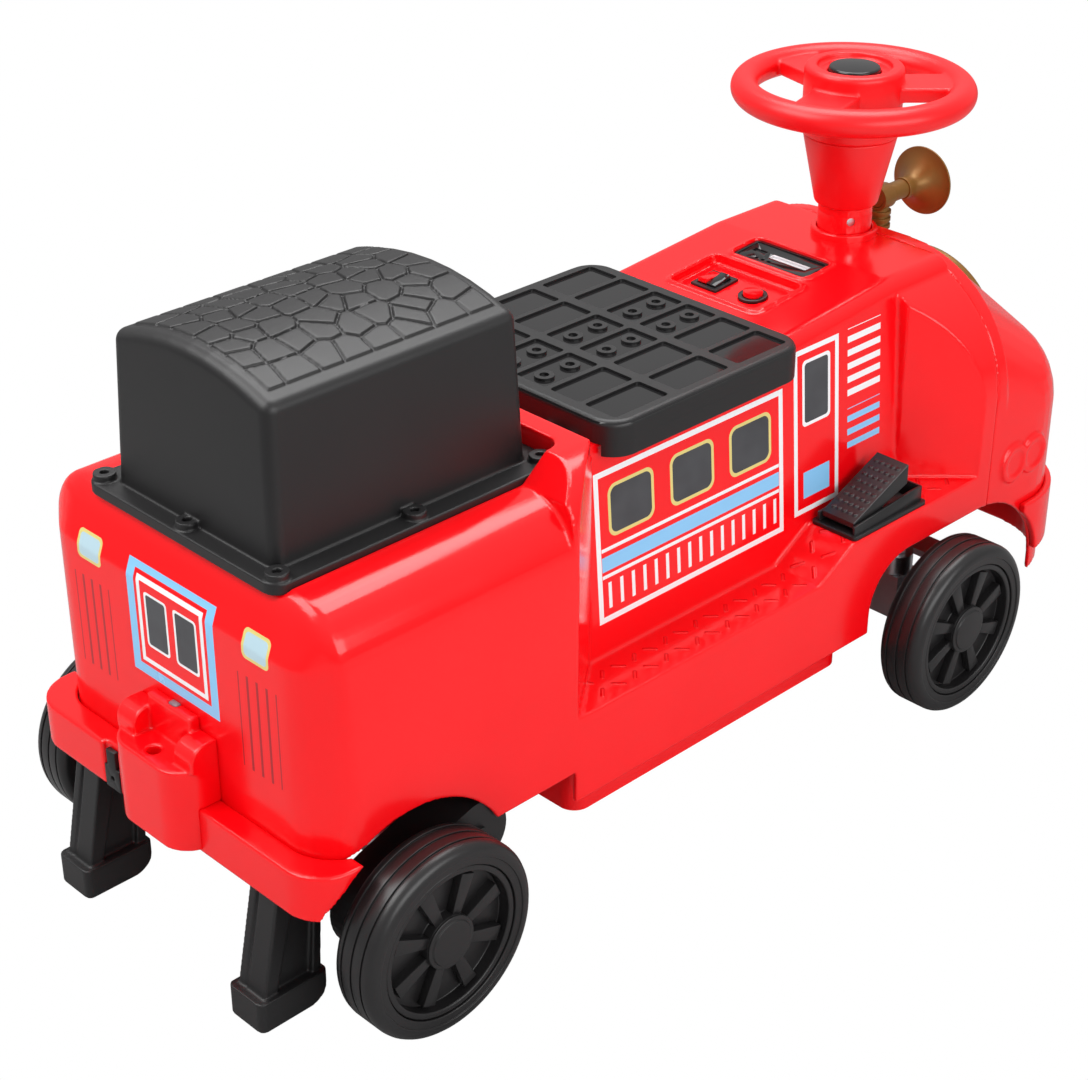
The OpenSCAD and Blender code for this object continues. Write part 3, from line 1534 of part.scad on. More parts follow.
// Ribbed post of the horn with its clamp ring
module horn_bracket() {
  color(brass) difference() {
    union() {
      translate([horn_x, 0, horn_z - horn_post_drop]) cylinder(r = horn_post_r, h = horn_post_drop);
      for (i = [1:horn_rib_count]) translate([horn_x, 0, horn_z - horn_tube_r - 2 * i * horn_rib_h])
        cylinder(r = horn_rib_r, h = horn_rib_h);
      along_x(horn_x - horn_post_r, horn_x + horn_post_r) translate([0, horn_z])
        circle(horn_tube_r + horn_wall);
    }
    along_x(horn_x - horn_post_r - over, horn_x + horn_post_r + over) translate([0, horn_z])
      circle(horn_tube_r);
  }
}

// Horn: tube and flared bell, hollow
module horn_bell() {
  rear = horn_x - horn_post_r;
  flare = [for (i = [0:flare_steps]) let (t = i / flare_steps) [horn_tube_r + (horn_mouth_r - horn_tube_r) * t * t * t,
    horn_tube_len + horn_bell_len * t]];
  bore = [for (p = flare) [p[0] - horn_wall, p[1]]];
  color(brass) translate([rear, 0, horn_z]) rotate([0, 90, 0]) rotate_extrude()
    polygon(concat([[0, 0], [horn_tube_r, 0]], flare, [for (i = [len(bore) - 1:-1:0]) bore[i]], [[0,
      horn_tube_len]]));
}

// Brass drum of the lamp on the nose
module headlamp_rim() {
  color(brass) on_lamp() translate([0, 0, -lamp_depth]) difference() {
    cylinder(r = lamp_r, h = lamp_depth);
    translate([0, 0, -over]) cylinder(r = lamp_r - lamp_wall, h = lamp_depth + 2 * over);
  }
}

module headlamp_lens() {
  color("ivory") on_lamp() translate([0, 0, -lamp_lens_back - lamp_lens_t])
    cylinder(r = lamp_r - lamp_wall, h = lamp_lens_t);
}

// Pedal box: thin flange, and walls that rise from the heel to the toe
module pedal_base() {
  x0 = pedal_rear_x + pedal_rim;
  x1 = pedal_rear_x + pedal_len - pedal_rim;
  half = pedal_w / 2 - pedal_rim;
  color(black) {
    mid_plate(pedal_rear_x + pedal_len / 2, pedal_y, pedal_len / 2, pedal_w / 2, pedal_rim, ramp_z,
      pedal_base_t);
    difference() {
      along_y(pedal_y - half, pedal_y + half) polygon([
        [x0, ramp_z + slice],
        [x1, ramp_z + slice],
        [x1, ramp_z + pedal_toe_wall],
        [x1 - pedal_toe_flat, ramp_z + pedal_toe_wall],
        [x0, ramp_z + pedal_heel_wall]]);
      translate([x0 - over, pedal_y - half + pedal_wall, ramp_z + pedal_base_t])
        cube([x1 - x0 - pedal_wall + over, 2 * (half - pedal_wall), pedal_toe_wall]);
    }
    rod_y(pedal_pin_x, pedal_pin_z, pedal_pin_r, pedal_y - half, pedal_y + half);
  }
}

// Pedal plate: wedge on its pin, with a dotted tread
module pedal_plate() {
  half = pedal_w / 2 - pedal_rim - pedal_wall - pedal_side_gap;
  x0 = pedal_pin_x - pedal_heel_back;
  heel = pedal_pin_z + pedal_heel_h;
  toe = ramp_z + pedal_toe_z;
  slope = (toe - heel) / (pedal_toe_x - x0);
  color(black) {
    along_y(pedal_y - half, pedal_y + half) difference() {
      union() {
        polygon([
          [x0, pedal_pin_z],
          [x0, heel],
          [pedal_toe_x, toe],
          [pedal_toe_x, toe - pedal_side_h],
          [pedal_pin_x + pedal_under, pedal_pin_z - pedal_boss_r / 2]]);
        translate([pedal_pin_x, pedal_pin_z]) circle(pedal_boss_r);
      }
      translate([pedal_pin_x, pedal_pin_z]) circle(pedal_pin_r + run_gap);
    }
    for (i = [1:dot_rows], j = [1:dot_cols]) {
      x = x0 + (pedal_toe_x - x0) * i / (dot_rows + 1);
      y = pedal_y - half + 2 * half * j / (dot_cols + 1);
      translate([x, y, heel + slope * (x - x0) - dot_rise]) cylinder(r = dot_r, h = 2 * dot_rise);
    }
  }
}

// Coil spring between the pedal box and the pedal plate
module pedal_spring() {
  x = pedal_pin_x + spring_ahead;
  z0 = ramp_z + pedal_base_t + spring_wire_r;
  low_x = pedal_pin_x + pedal_under;
  low_z = pedal_pin_z - pedal_boss_r / 2;
  under_slope = (ramp_z + pedal_toe_z - pedal_side_h - low_z) / (pedal_toe_x - low_x);
  rise = low_z + under_slope * (x - spring_r - spring_wire_r - low_x) - spring_wire_r - seat_gap - z0;
  count = spring_turns * spring_ring_count;
  points = [for (i = [0:count], k = [0:spring_sides - 1])
    let (a = 360 * i / spring_ring_count, b = 360 * k / spring_sides,
      rad = spring_r + spring_wire_r * cos(b))
    [x + rad * cos(a), pedal_y + rad * sin(a), z0 + rise * i / count + spring_wire_r * sin(b)]];
  sides = [for (i = [0:count - 1], k = [0:spring_sides - 1])
    let (n = (k + 1) % spring_sides, p = i * spring_sides, q = p + spring_sides)
    each [[p + k, q + k, q + n], [p + k, q + n, p + n]]];
  caps = [for (k = [1:spring_sides - 2]) each [[0, k, k + 1],
    [count * spring_sides, count * spring_sides + k + 1, count * spring_sides + k]]];
  echo(coil_gap = rise / spring_turns - 2 * spring_wire_r);
  color(steel) polyhedron(points, concat(sides, caps));
}

body_shell();
front_fascia();
chassis_pan();
front_bumper();
rear_bumper();
hitch_pocket();
hitch_tongue();
hitch_clip();
tender_box();
tender_screws();
anti_tip_leg_left();
anti_tip_leg_right();
seat_hinge();
battery();
rear_axle();
axle_nuts();
gearbox();
drive_motor();
axle_bracket();
front_beam();
media_panel();
dual_switch_housing();
round_switch_housing();
column_collar();
horn_bracket();
horn_bell();
headlamp_rim();
headlamp_lens();
pedal_base();
pedal_spring();
body_screws();
seat();
steering_wheel();
steering_cup();
column_sleeve();
column_screw();
steering_rod();
horn_button();
knuckle_left();
knuckle_right();
stub_nut_left();
stub_nut_right();
tie_rod();
pedal_plate();
rocker_red();
rocker_black();
rocker_power();
tyre_rear_left();
trim_rear_left();
cap_rear_left();
tyre_rear_right();
trim_rear_right();
cap_rear_right();
tyre_front_left();
trim_front_left();
cap_front_left();
tyre_front_right();
trim_front_right();
cap_front_right();
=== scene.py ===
from math import atan2, cos, hypot, pi, radians, sin, tan

import bpy
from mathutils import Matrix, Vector


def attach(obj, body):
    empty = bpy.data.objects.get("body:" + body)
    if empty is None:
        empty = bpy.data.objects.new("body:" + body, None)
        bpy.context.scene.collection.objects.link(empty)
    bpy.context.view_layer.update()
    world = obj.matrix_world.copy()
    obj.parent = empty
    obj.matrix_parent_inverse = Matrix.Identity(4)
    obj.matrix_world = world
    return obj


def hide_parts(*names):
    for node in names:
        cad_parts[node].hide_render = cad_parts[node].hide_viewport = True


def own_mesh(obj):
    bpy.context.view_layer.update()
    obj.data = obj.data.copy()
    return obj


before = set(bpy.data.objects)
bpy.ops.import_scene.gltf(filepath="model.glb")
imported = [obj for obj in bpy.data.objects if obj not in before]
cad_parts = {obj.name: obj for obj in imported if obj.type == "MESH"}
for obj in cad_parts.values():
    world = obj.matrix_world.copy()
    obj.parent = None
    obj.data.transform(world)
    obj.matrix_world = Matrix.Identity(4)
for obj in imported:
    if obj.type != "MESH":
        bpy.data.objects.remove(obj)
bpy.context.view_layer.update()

# Camera: eye and lens as fitted to the photo, about 45 degrees round from the
# tail towards the right side and 29 degrees up, with no depth of field.
EYE = (-1.1090, -1.0741, 1.0349)
AIM = (-0.0535, 0.0077, 0.1899)


def aimed(at, look_at):
    return (Vector(look_at) - Vector(at)).to_track_quat("-Z", "Y").to_euler()


scene = bpy.context.scene
bpy.ops.object.camera_add(location=EYE)
camera = bpy.context.object
camera.name = "camera"
camera.data.lens = 75.2
camera.data.sensor_width = 36
camera.rotation_euler = aimed(EYE, AIM)
scene.camera = camera

# Studio: floor and surround, which the camera sees as plain white. Of three
# soft boxes, one stands behind on the left and one low on the right, and the
# strongest hangs over the nose.
PLAIN_WHITE = (1, 1, 1, 1)
GLOW_BELOW = 0.34
GLOW_ABOVE = 0.8
FLOOR_TONE = 0.66
FLOOR_TONE_MIRRORED = 0.26


def soft_box(name, at, look_at, size, watts):
    bpy.ops.object.light_add(type="AREA", location=at)
    lamp = bpy.context.object
    lamp.name = name
    lamp.data.shape = "RECTANGLE"
    lamp.data.size, lamp.data.size_y = size
    lamp.data.energy = watts
    lamp.rotation_euler = aimed(at, look_at)


def axes_of(tree, vector):
    axes = tree.nodes.new("ShaderNodeSeparateXYZ")
    tree.links.new(vector, axes.inputs["Vector"])
    return axes.outputs


# joins what lights the toy with what the camera sees in its place
def seen_plain(tree, lit, plain, output):
    ray = tree.nodes.new("ShaderNodeLightPath")
    both = tree.nodes.new("ShaderNodeMixShader")
    tree.links.new(ray.outputs["Is Camera Ray"], both.inputs["Fac"])
    tree.links.new(lit, both.inputs[1])
    tree.links.new(plain, both.inputs[2])
    tree.links.new(both.outputs["Shader"], output)
    return ray


scene.view_settings.view_transform = "Standard"
scene.view_settings.look = "None"
soft_box("key_box", (-1.3, 0.6, 1.9), look_at=(-0.1, 0, 0.2), size=(1.6, 1.2), watts=30)
soft_box("side_box", (-0.2, -2.1, 1.0), look_at=(0, 0, 0.2), size=(2.2, 1.0), watts=24)
soft_box("top_box", (0.5, 0.4, 2.2), look_at=(0.1, 0, 0.3), size=(1.8, 1.4), watts=42)

world = bpy.data.worlds.new("white_surround")
scene.world = world
world.use_nodes = True
tree = world.node_tree
lit = tree.nodes["Background"]
lit.inputs["Color"].default_value = PLAIN_WHITE
direction = tree.nodes.new("ShaderNodeTexCoord")
fade = tree.nodes.new("ShaderNodeMapRange")
fade.inputs["To Min"].default_value = GLOW_BELOW
fade.inputs["To Max"].default_value = GLOW_ABOVE
tree.links.new(axes_of(tree, direction.outputs["Generated"])["Z"], fade.inputs["Value"])
tree.links.new(fade.outputs["Result"], lit.inputs["Strength"])
plain = tree.nodes.new("ShaderNodeBackground")
plain.inputs["Color"].default_value = PLAIN_WHITE
output = tree.nodes["World Output"].inputs["Surface"]
seen_plain(tree, lit.outputs["Background"], plain.outputs["Background"], output)

bpy.ops.mesh.primitive_plane_add(size=12, location=(0, 0, 0))
floor = bpy.context.object
floor.name = "studio_floor"
floor_paint = bpy.data.materials.new("studio_floor")
floor_paint.use_nodes = True
tree = floor_paint.node_tree
surface = tree.nodes["Principled BSDF"]
surface.inputs["Roughness"].default_value = 0.9
plain = tree.nodes.new("ShaderNodeEmission")
plain.inputs["Color"].default_value = PLAIN_WHITE
output = tree.nodes["Material Output"].inputs["Surface"]
ray = seen_plain(tree, surface.outputs["BSDF"], plain.outputs["Emission"], output)
tone = tree.nodes.new("ShaderNodeMapRange")
tone.inputs["To Min"].default_value = FLOOR_TONE
tone.inputs["To Max"].default_value = FLOOR_TONE_MIRRORED
tree.links.new(ray.outputs["Is Glossy Ray"], tone.inputs["Value"])
tree.links.new(tone.outputs["Result"], surface.inputs["Base Color"])
floor.data.materials.append(floor_paint)

# Chassis, drive and steering under the body: a red floor pan, black housings,
# zinc plated steel and the battery's dark case, screwed and pinned together.
# They keep the shape of the solids, because they sit in the dark underneath.
GRAIN_STRENGTH = 0.5


def feed(tree, socket, value):
    if isinstance(value, bpy.types.NodeSocket):
        tree.links.new(value, socket)
    elif isinstance(value, tuple):
        socket.default_value = (*value, 1)
    else:
        socket.default_value = value


def calc(tree, operation, *values):
    node = tree.nodes.new("ShaderNodeMath")
    node.operation = operation
    for socket, value in zip(node.inputs, values):
        feed(tree, socket, value)
    return node.outputs[0]


def mix_colour(tree, share, first, second):
    node = tree.nodes.new("ShaderNodeMix")
    node.data_type = "RGBA"
    for socket, value in (("Factor", share), ("A", first), ("B", second)):
        feed(tree, node.inputs[socket], value)
    return node.outputs["Result"]


def group_of(name, inputs, outputs):
    group = bpy.data.node_groups.new(name, "ShaderNodeTree")
    for in_out, sockets in (("INPUT", inputs), ("OUTPUT", outputs)):
        for socket, kind in sockets.items():
            group.interface.new_socket(socket, in_out=in_out, socket_type="NodeSocket" + kind)
    return group


def group_in(tree, group):
    node = tree.nodes.new("ShaderNodeGroup")
    node.node_tree = group
    return node


# broad mottling and fine grain of a moulded or plated skin
def grain_group():
    group = group_of("moulded_grain", {"Grain Size": "Float"}, {"Mottle": "Float", "Grain": "Float"})
    start = group.nodes.new("NodeGroupInput")
    end = group.nodes.new("NodeGroupOutput")
    where = group.nodes.new("ShaderNodeTexCoord")
    broad = group.nodes.new("ShaderNodeTexNoise")
    broad.inputs["Scale"].default_value = 14
    broad.inputs["Detail"].default_value = 5
    fine = group.nodes.new("ShaderNodeTexNoise")
    fine.inputs["Detail"].default_value = 2
    group.links.new(start.outputs["Grain Size"], fine.inputs["Scale"])
    for noise, output in ((broad, "Mottle"), (fine, "Grain")):
        group.links.new(where.outputs["Object"], noise.inputs["Vector"])
        group.links.new(noise.outputs["Fac"], end.inputs[output])
    return group


grain = grain_group()


def finish_of(name, dark, light, rough, grain_size, grain_depth, metal=0.0):
    material = bpy.data.materials.new(name)
    material.use_nodes = True
    tree = material.node_tree
    surface = tree.nodes["Principled BSDF"]
    skin = group_in(tree, grain)
    skin.inputs["Grain Size"].default_value = grain_size
    mottle = skin.outputs["Mottle"]
    tree.links.new(mix_colour(tree, mottle, dark, light), surface.inputs["Base Color"])
    spread = calc(tree, "MULTIPLY_ADD", mottle, rough[1] - rough[0], rough[0])
    tree.links.new(spread, surface.inputs["Roughness"])
    surface.inputs["Metallic"].default_value = metal
    bump = tree.nodes.new("ShaderNodeBump")
    bump.inputs["Distance"].default_value = grain_depth
    bump.inputs["Strength"].default_value = GRAIN_STRENGTH
    tree.links.new(skin.outputs["Grain"], bump.inputs["Height"])
    tree.links.new(bump.outputs["Normal"], surface.inputs["Normal"])
    return material


def dress(piece, material):
    piece.data.materials.clear()
    piece.data.materials.append(material)


red = finish_of("red_plastic", dark=(0.84, 0.0012, 0.004), light=(0.92, 0.0022, 0.006),
                rough=(0.12, 0.2), grain_size=700, grain_depth=0.00004)
satin_black = finish_of("satin_black", dark=(0.0085, 0.008, 0.0085), light=(0.0125, 0.012, 0.0125),
                        rough=(0.36, 0.46), grain_size=2600, grain_depth=0.00012)
steel = finish_of("zinc_steel", dark=(0.5, 0.5, 0.52), light=(0.66, 0.66, 0.68),
                  rough=(0.25, 0.4), grain_size=1800, grain_depth=0.00004, metal=1.0)
case_grey = finish_of("battery_case", dark=(0.03, 0.033, 0.04), light=(0.045, 0.048, 0.06),
                      rough=(0.4, 0.5), grain_size=1500, grain_depth=0.00008)
UNDER = {
    "red_plastic": (red, ["chassis_pan"]),
    "black_plastic": (satin_black, ["gearbox", "axle_bracket"]),
    "zinc_steel": (steel, ["rear_axle", "axle_nuts", "drive_motor", "front_beam", "body_screws",
                           "steering_rod", "knuckle_left", "knuckle_right", "stub_nut_left",
                           "stub_nut_right", "tie_rod", "seat_hinge"]),
    "battery_case": (case_grey, ["battery"]),
}
for slot, (material, nodes) in UNDER.items():
    for node in nodes:
        dress(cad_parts[node], material)

# Body shell: one glossy red moulding over the chassis, held by screws from
# below, with printed panels on the tunnel's sides and the tail, and a tread of
# slanting bars moulded in the footwell floors.
WHITE = (0.84, 0.84, 0.86)
BLUE = (0.24, 0.55, 0.86)
PALE_BLUE = (0.45, 0.62, 0.7)
YELLOW = (0.72, 0.6, 0.2)
DARK_RED = (0.36, 0.004, 0.008)
GLASS = (0.03, 0.032, 0.036)
GLASS_LIGHT = (0.075, 0.078, 0.085)
TUNNEL_FOOT = 0.182
TUNNEL_LEAN = 0.0769
TUNNEL_SIDE = (0.1035, 0.1085)
TAIL_FACE = -0.396
PRINT_ROUGHNESS = 0.1
TREAD_PITCH = 0.0165
TREAD_HEIGHT = 0.0011
BAR_HALF_LENGTH = 0.36
BAR_FOOT = 0.16
BAR_CREST = 0.03
WELD = 0.00002


def pick(piece):
    bpy.ops.object.select_all(action="DESELECT")
    piece.select_set(True)
    bpy.context.view_layer.objects.active = piece


def edit_all(piece):
    pick(piece)
    bpy.ops.object.mode_set(mode="EDIT")
    bpy.ops.mesh.select_all(action="SELECT")


def modify(piece, kind, **settings):
    pick(piece)
    modifier = piece.modifiers.new(kind.lower(), kind)
    for key, value in settings.items():
        setattr(modifier, key, value)
    bpy.ops.object.modifier_apply(modifier=modifier.name)


def copied(piece, name):
    twin = bpy.data.objects.new(name, piece.data.copy())
    bpy.context.collection.objects.link(twin)
    return twin


def welded(node, name):
    piece = copied(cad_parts[node], name)
    piece.data.materials.clear()
    edit_all(piece)
    bpy.ops.mesh.remove_doubles(threshold=WELD)
    bpy.ops.object.mode_set(mode="OBJECT")
    return piece


# a piece of the solids with its edges rounded as in a mould
def moulded(node, name, voxel, passes, triangles):
    piece = welded(node, name)
    modify(piece, "REMESH", mode="VOXEL", voxel_size=voxel, adaptivity=0)
    modify(piece, "SMOOTH", factor=0.5, iterations=passes)
    share = triangles / (2 * len(piece.data.polygons))
    if share < 1:
        modify(piece, "DECIMATE", ratio=share)
    bpy.ops.object.shade_smooth()
    return piece


def place(piece, body, material, node):
    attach(piece, body)
    dress(piece, material)
    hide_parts(node)


def variant(finish, name):
    material = finish.copy()
    material.name = name
    tree = material.node_tree
    return material, tree, tree.nodes["Principled BSDF"]


def fed(surface, socket):
    return surface.inputs[socket].links[0].from_socket


def band(tree, value, low, high):
    return calc(tree, "COMPARE", value, (low + high) / 2, (high - low) / 2)


def both_of(tree, *masks):
    result = masks[0]
    for mask in masks[1:]:
        result = calc(tree, "MULTIPLY", result, mask)
    return result


def past(tree, value, centre, half):
    off = calc(tree, "ABSOLUTE", calc(tree, "SUBTRACT", value, centre))
    return calc(tree, "MAXIMUM", calc(tree, "SUBTRACT", off, half), 0.0)


def squares(tree, first, second):
    return calc(tree, "ADD", calc(tree, "MULTIPLY", first, first), calc(tree, "MULTIPLY", second, second))


def plate_mask(tree, u, v, centre, half, corner):
    across = past(tree, u, centre[0], half[0] - corner)
    up = past(tree, v, centre[1], half[1] - corner)
    return calc(tree, "LESS_THAN", squares(tree, across, up), corner * corner)


def print_group():
    group = group_of("printed_panels", {"Plastic": "Color"}, {"Color": "Color", "Print": "Float"})
    start = group.nodes.new("NodeGroupInput")
    end = group.nodes.new("NodeGroupOutput")
    where = group.nodes.new("ShaderNodeTexCoord")
    x, y, z = axes_of(group, where.outputs["Object"])
    tone = group.nodes.new("ShaderNodeTexNoise")
    tone.inputs["Scale"].default_value = 30
    group.links.new(where.outputs["Object"], tone.inputs["Vector"])
    glass = mix_colour(group, tone.outputs["Fac"], GLASS, GLASS_LIGHT)
    out = calc(group, "ABSOLUTE", y)
    lean = calc(group, "MULTIPLY_ADD", calc(group, "SUBTRACT", z, TUNNEL_FOOT), TUNNEL_LEAN, out)
    side = band(group, lean, *TUNNEL_SIDE)
    tail = calc(group, "LESS_THAN", x, TAIL_FACE)
    layers = []

    def lay(colour, *masks):
        layers.append((both_of(group, *masks), colour))

    def outline(area, u, v, low, high, line, colour):
        outer = both_of(group, band(group, u, low[0], high[0]), band(group, v, low[1], high[1]))
        inner = both_of(group, band(group, u, low[0] + line, high[0] - line),
                        band(group, v, low[1] + line, high[1] - line))
        lay(colour, area, calc(group, "SUBTRACT", outer, inner))

    def window(area, u, v, centre, half, border, corners, rim, pane):
        inner = (half[0] - border, half[1] - border)
        lay(rim, area, plate_mask(group, u, v, centre, half, corners[0]))
        lay(pane, area, plate_mask(group, u, v, centre, inner, corners[1]))

    def stripes(value, half_pitch, half_width):
        off = calc(group, "ABSOLUTE", calc(group, "WRAP", value, half_pitch, -half_pitch))
        return calc(group, "LESS_THAN", off, half_width)

    # long panel: white frame, a blue band between white lines, upright slats
    # below it and three windows above
    outline(side, x, z, low=(-0.108, 0.186), high=(0.094, 0.304), line=0.0045, colour=WHITE)
    inside = both_of(group, side, band(group, x, -0.103, 0.089))
    lay(BLUE, inside, band(group, z, 0.226, 0.2375))
    for low in (0.2205, 0.2415):
        lay(WHITE, inside, band(group, z, low, low + 0.0028))
    slats = stripes(x, half_pitch=0.006, half_width=0.0016)
    lay(WHITE, inside, slats, band(group, z, 0.196, 0.2165))
    bay = calc(group, "WRAP", calc(group, "ADD", x, 0.007), 0.032, -0.032)
    window(inside, bay, z, centre=(0, 0.271), half=(0.0235, 0.0205), border=0.0027,
           corners=(0.008, 0.006), rim=YELLOW, pane=glass)
    # door panel: white frame, one tall window, a blue kick plate
    outline(side, x, z, low=(0.107, 0.192), high=(0.16, 0.328), line=0.0042, colour=WHITE)
    window(side, x, z, centre=(0.1335, 0.291), half=(0.0165, 0.027), border=0.0027,
           corners=(0.004, 0.003), rim=WHITE, pane=glass)
    lay(BLUE, side, band(group, x, 0.118, 0.149), band(group, z, 0.204, 0.226))
    # vent panel: white louvres over blue ones
    vent = both_of(group, side, band(group, x, 0.171, 0.211))
    louvres = both_of(group, vent, stripes(z, half_pitch=0.0055, half_width=0.0026))
    lay(WHITE, louvres, band(group, z, 0.268, 0.328))
    lay(BLUE, louvres, band(group, z, 0.226, 0.262))
    # tail: blue frame with two square panes, flank lamps and upright slots
    outline(tail, y, z, low=(-0.047, 0.212), high=(0.047, 0.3), line=0.008, colour=BLUE)
    outline(tail, y, z, low=(-0.036, 0.223), high=(0.036, 0.289), line=0.0035, colour=WHITE)
    window(tail, calc(group, "SUBTRACT", out, 0.016), z, centre=(0, 0.258), half=(0.0125, 0.021),
           border=0.002, corners=(0.003, 0.002), rim=WHITE, pane=glass)
    flank = calc(group, "SUBTRACT", out, 0.09)
    window(tail, flank, z, centre=(0, 0.286), half=(0.0135, 0.0105), border=0.0023,
           corners=(0.004, 0.003), rim=YELLOW, pane=PALE_BLUE)
    slots = both_of(group, tail, band(group, flank, -0.02, 0.02),
                    stripes(y, half_pitch=0.005, half_width=0.0011))
    lay(DARK_RED, slots, band(group, z, 0.19, 0.262))

    colour = start.outputs["Plastic"]
    printed = 0.0
    for mask, ink in layers:
        colour = mix_colour(group, mask, colour, ink)
        printed = calc(group, "MAXIMUM", mask, printed)
    group.links.new(colour, end.inputs["Color"])
    group.links.new(printed, end.inputs["Print"])
    return group


# squares of one bar each, which slants one way and the other by turns
def tread_group():
    group = group_of("bar_tread", {}, {"Height": "Float"})
    end = group.nodes.new("NodeGroupOutput")
    where = group.nodes.new("ShaderNodeTexCoord")
    x, y, z = axes_of(group, where.outputs["Object"])
    upward = axes_of(group, where.outputs["Normal"])["Z"]
    row = calc(group, "DIVIDE", x, TREAD_PITCH)
    column = calc(group, "DIVIDE", y, TREAD_PITCH)
    square = calc(group, "ADD", calc(group, "FLOOR", row), calc(group, "FLOOR", column))
    odd = calc(group, "ABSOLUTE", calc(group, "MODULO", square, 2.0))
    slant = calc(group, "SUBTRACT", 1.0, calc(group, "MULTIPLY", odd, 2.0))
    ahead = calc(group, "SUBTRACT", calc(group, "FRACT", row), 0.5)
    aside = calc(group, "SUBTRACT", calc(group, "FRACT", column), 0.5)
    aside = calc(group, "MULTIPLY", aside, slant)
    along = past(group, calc(group, "ADD", ahead, aside), 0.0, BAR_HALF_LENGTH)
    across = calc(group, "SUBTRACT", ahead, aside)
    shape = group.nodes.new("ShaderNodeMapRange")
    shape.interpolation_type = "SMOOTHSTEP"
    shape.inputs["From Min"].default_value = BAR_FOOT
    shape.inputs["From Max"].default_value = BAR_CREST
    group.links.new(calc(group, "SQRT", squares(group, along, across)), shape.inputs["Value"])
    footwell = both_of(group, band(group, z, 0.157, 0.1836), calc(group, "GREATER_THAN", upward, 0.75),
                       band(group, calc(group, "ABSOLUTE", y), 0.1135, 0.1475), band(group, x, -0.15, 0.29))
    group.links.new(calc(group, "MULTIPLY", shape.outputs["Result"], footwell), end.inputs["Height"])
    return group


body_paint, tree, surface = variant(red, "red_plastic_printed")
panels = group_in(tree, print_group())
tree.links.new(fed(surface, "Base Color"), panels.inputs["Plastic"])
tree.links.new(panels.outputs["Color"], surface.inputs["Base Color"])
rougher = calc(tree, "MULTIPLY_ADD", panels.outputs["Print"], PRINT_ROUGHNESS, fed(surface, "Roughness"))
tree.links.new(rougher, surface.inputs["Roughness"])
tread = group_in(tree, tread_group())
raised = tree.nodes.new("ShaderNodeBump")
raised.inputs["Distance"].default_value = TREAD_HEIGHT
tree.links.new(tread.outputs["Height"], raised.inputs["Height"])
tree.links.new(fed(surface, "Normal"), raised.inputs["Normal"])
tree.links.new(raised.outputs["Normal"], surface.inputs["Normal"])
body = moulded("body_shell", "body_moulding", voxel=0.0014, passes=4, triangles=190000)
place(body, "frame", body_paint, "body_shell")

# Nose: the red moulding in front of the seam and the proud bumper bar round
# it, both plain glossy plastic, joined to the body.
nose = moulded("front_fascia", "nose_moulding", voxel=0.0015, passes=5, triangles=120000)
place(nose, "frame", red, "front_fascia")
bar = moulded("front_bumper", "nose_bumper", voxel=0.0012, passes=6, triangles=40000)
place(bar, "frame", red, "front_bumper")

# Tail: a red bumper ledge and towing block, glossy mouldings fixed to the
# body, with a grey plastic tongue in the block's slot and a small black clip
# beside it. Those two keep crisp edges, with narrow rounds.
grey = finish_of("grey_plastic", dark=(0.2, 0.15, 0.17), light=(0.27, 0.2, 0.23),
                 rough=(0.3, 0.4), grain_size=1500, grain_depth=0.00005)


def flattened(node, name):
    piece = welded(node, name)
    edit_all(piece)
    bpy.ops.mesh.dissolve_limited(angle_limit=radians(1))
    bpy.ops.object.mode_set(mode="OBJECT")
    return piece


# a piece of the solids with narrow rounds on its sharp edges
def edged(node, name, width):
    piece = flattened(node, name)
    modify(piece, "BEVEL", width=width, segments=3, limit_method="ANGLE", angle_limit=radians(35),
           harden_normals=True)
    bpy.ops.object.shade_smooth_by_angle(angle=radians(40))
    return piece


ledge = moulded("rear_bumper", "tail_bumper", voxel=0.0012, passes=6, triangles=60000)
place(ledge, "frame", red, "rear_bumper")
block = moulded("hitch_pocket", "towing_block", voxel=0.0009, passes=8, triangles=60000)
place(block, "frame", red, "hitch_pocket")
tongue = edged("hitch_tongue", "towing_tongue", width=0.0008)
place(tongue, "frame", grey, "hitch_tongue")
clip = edged("hitch_clip", "bumper_clip", width=0.0006)
place(clip, "frame", satin_black, "hitch_clip")

# Stabiliser legs: satin black mouldings with sunk flanks and a wide foot,
# which stand down from the body behind the rear wheels.
for side in ("left", "right"):
    leg = moulded(f"anti_tip_leg_{side}", f"stabiliser_{side}", voxel=0.0009, passes=4, triangles=50000)
    place(leg, "frame", satin_black, f"anti_tip_leg_{side}")

# Coal box: one satin black moulding with coal lumps on its lid, held on the
# body by black screws through its flange.
coal_box = moulded("tender_box", "coal_box", voxel=0.0008, passes=2, triangles=195000)
place(coal_box, "frame", satin_black, "tender_box")
screws = edged("tender_screws", "flange_screws", width=0.0006)
place(screws, "frame", satin_black, "tender_screws")

# Seat lid: one black moulding with a satin frame, glossy sunk panels and small
# raised rings. Its outer edge is well rounded, a skirt hangs down on both
# sides, and it hinges at the back.
SEAT_TOP = 0.345
SEAT_MIDDLE = -0.001
SEAT_HALF = (0.1035, 0.112)
SEAT_CORNER = 0.022
SEAT_ROUND = 0.005
RIM_TOLERANCE = 0.0003
SKIRT_TOP = 0.33
SKIRT_DROP = 0.012
SKIRT_WALL = 0.0035
SKIRT_PROUD = 0.00005
SKIRT_START = 24
SKIRT_STEPS = 16
SUNK_HEIGHTS = (0.3424, 0.3436)
SUNK_ROUGHNESS = -0.32
SUNK_GRAIN = -0.47


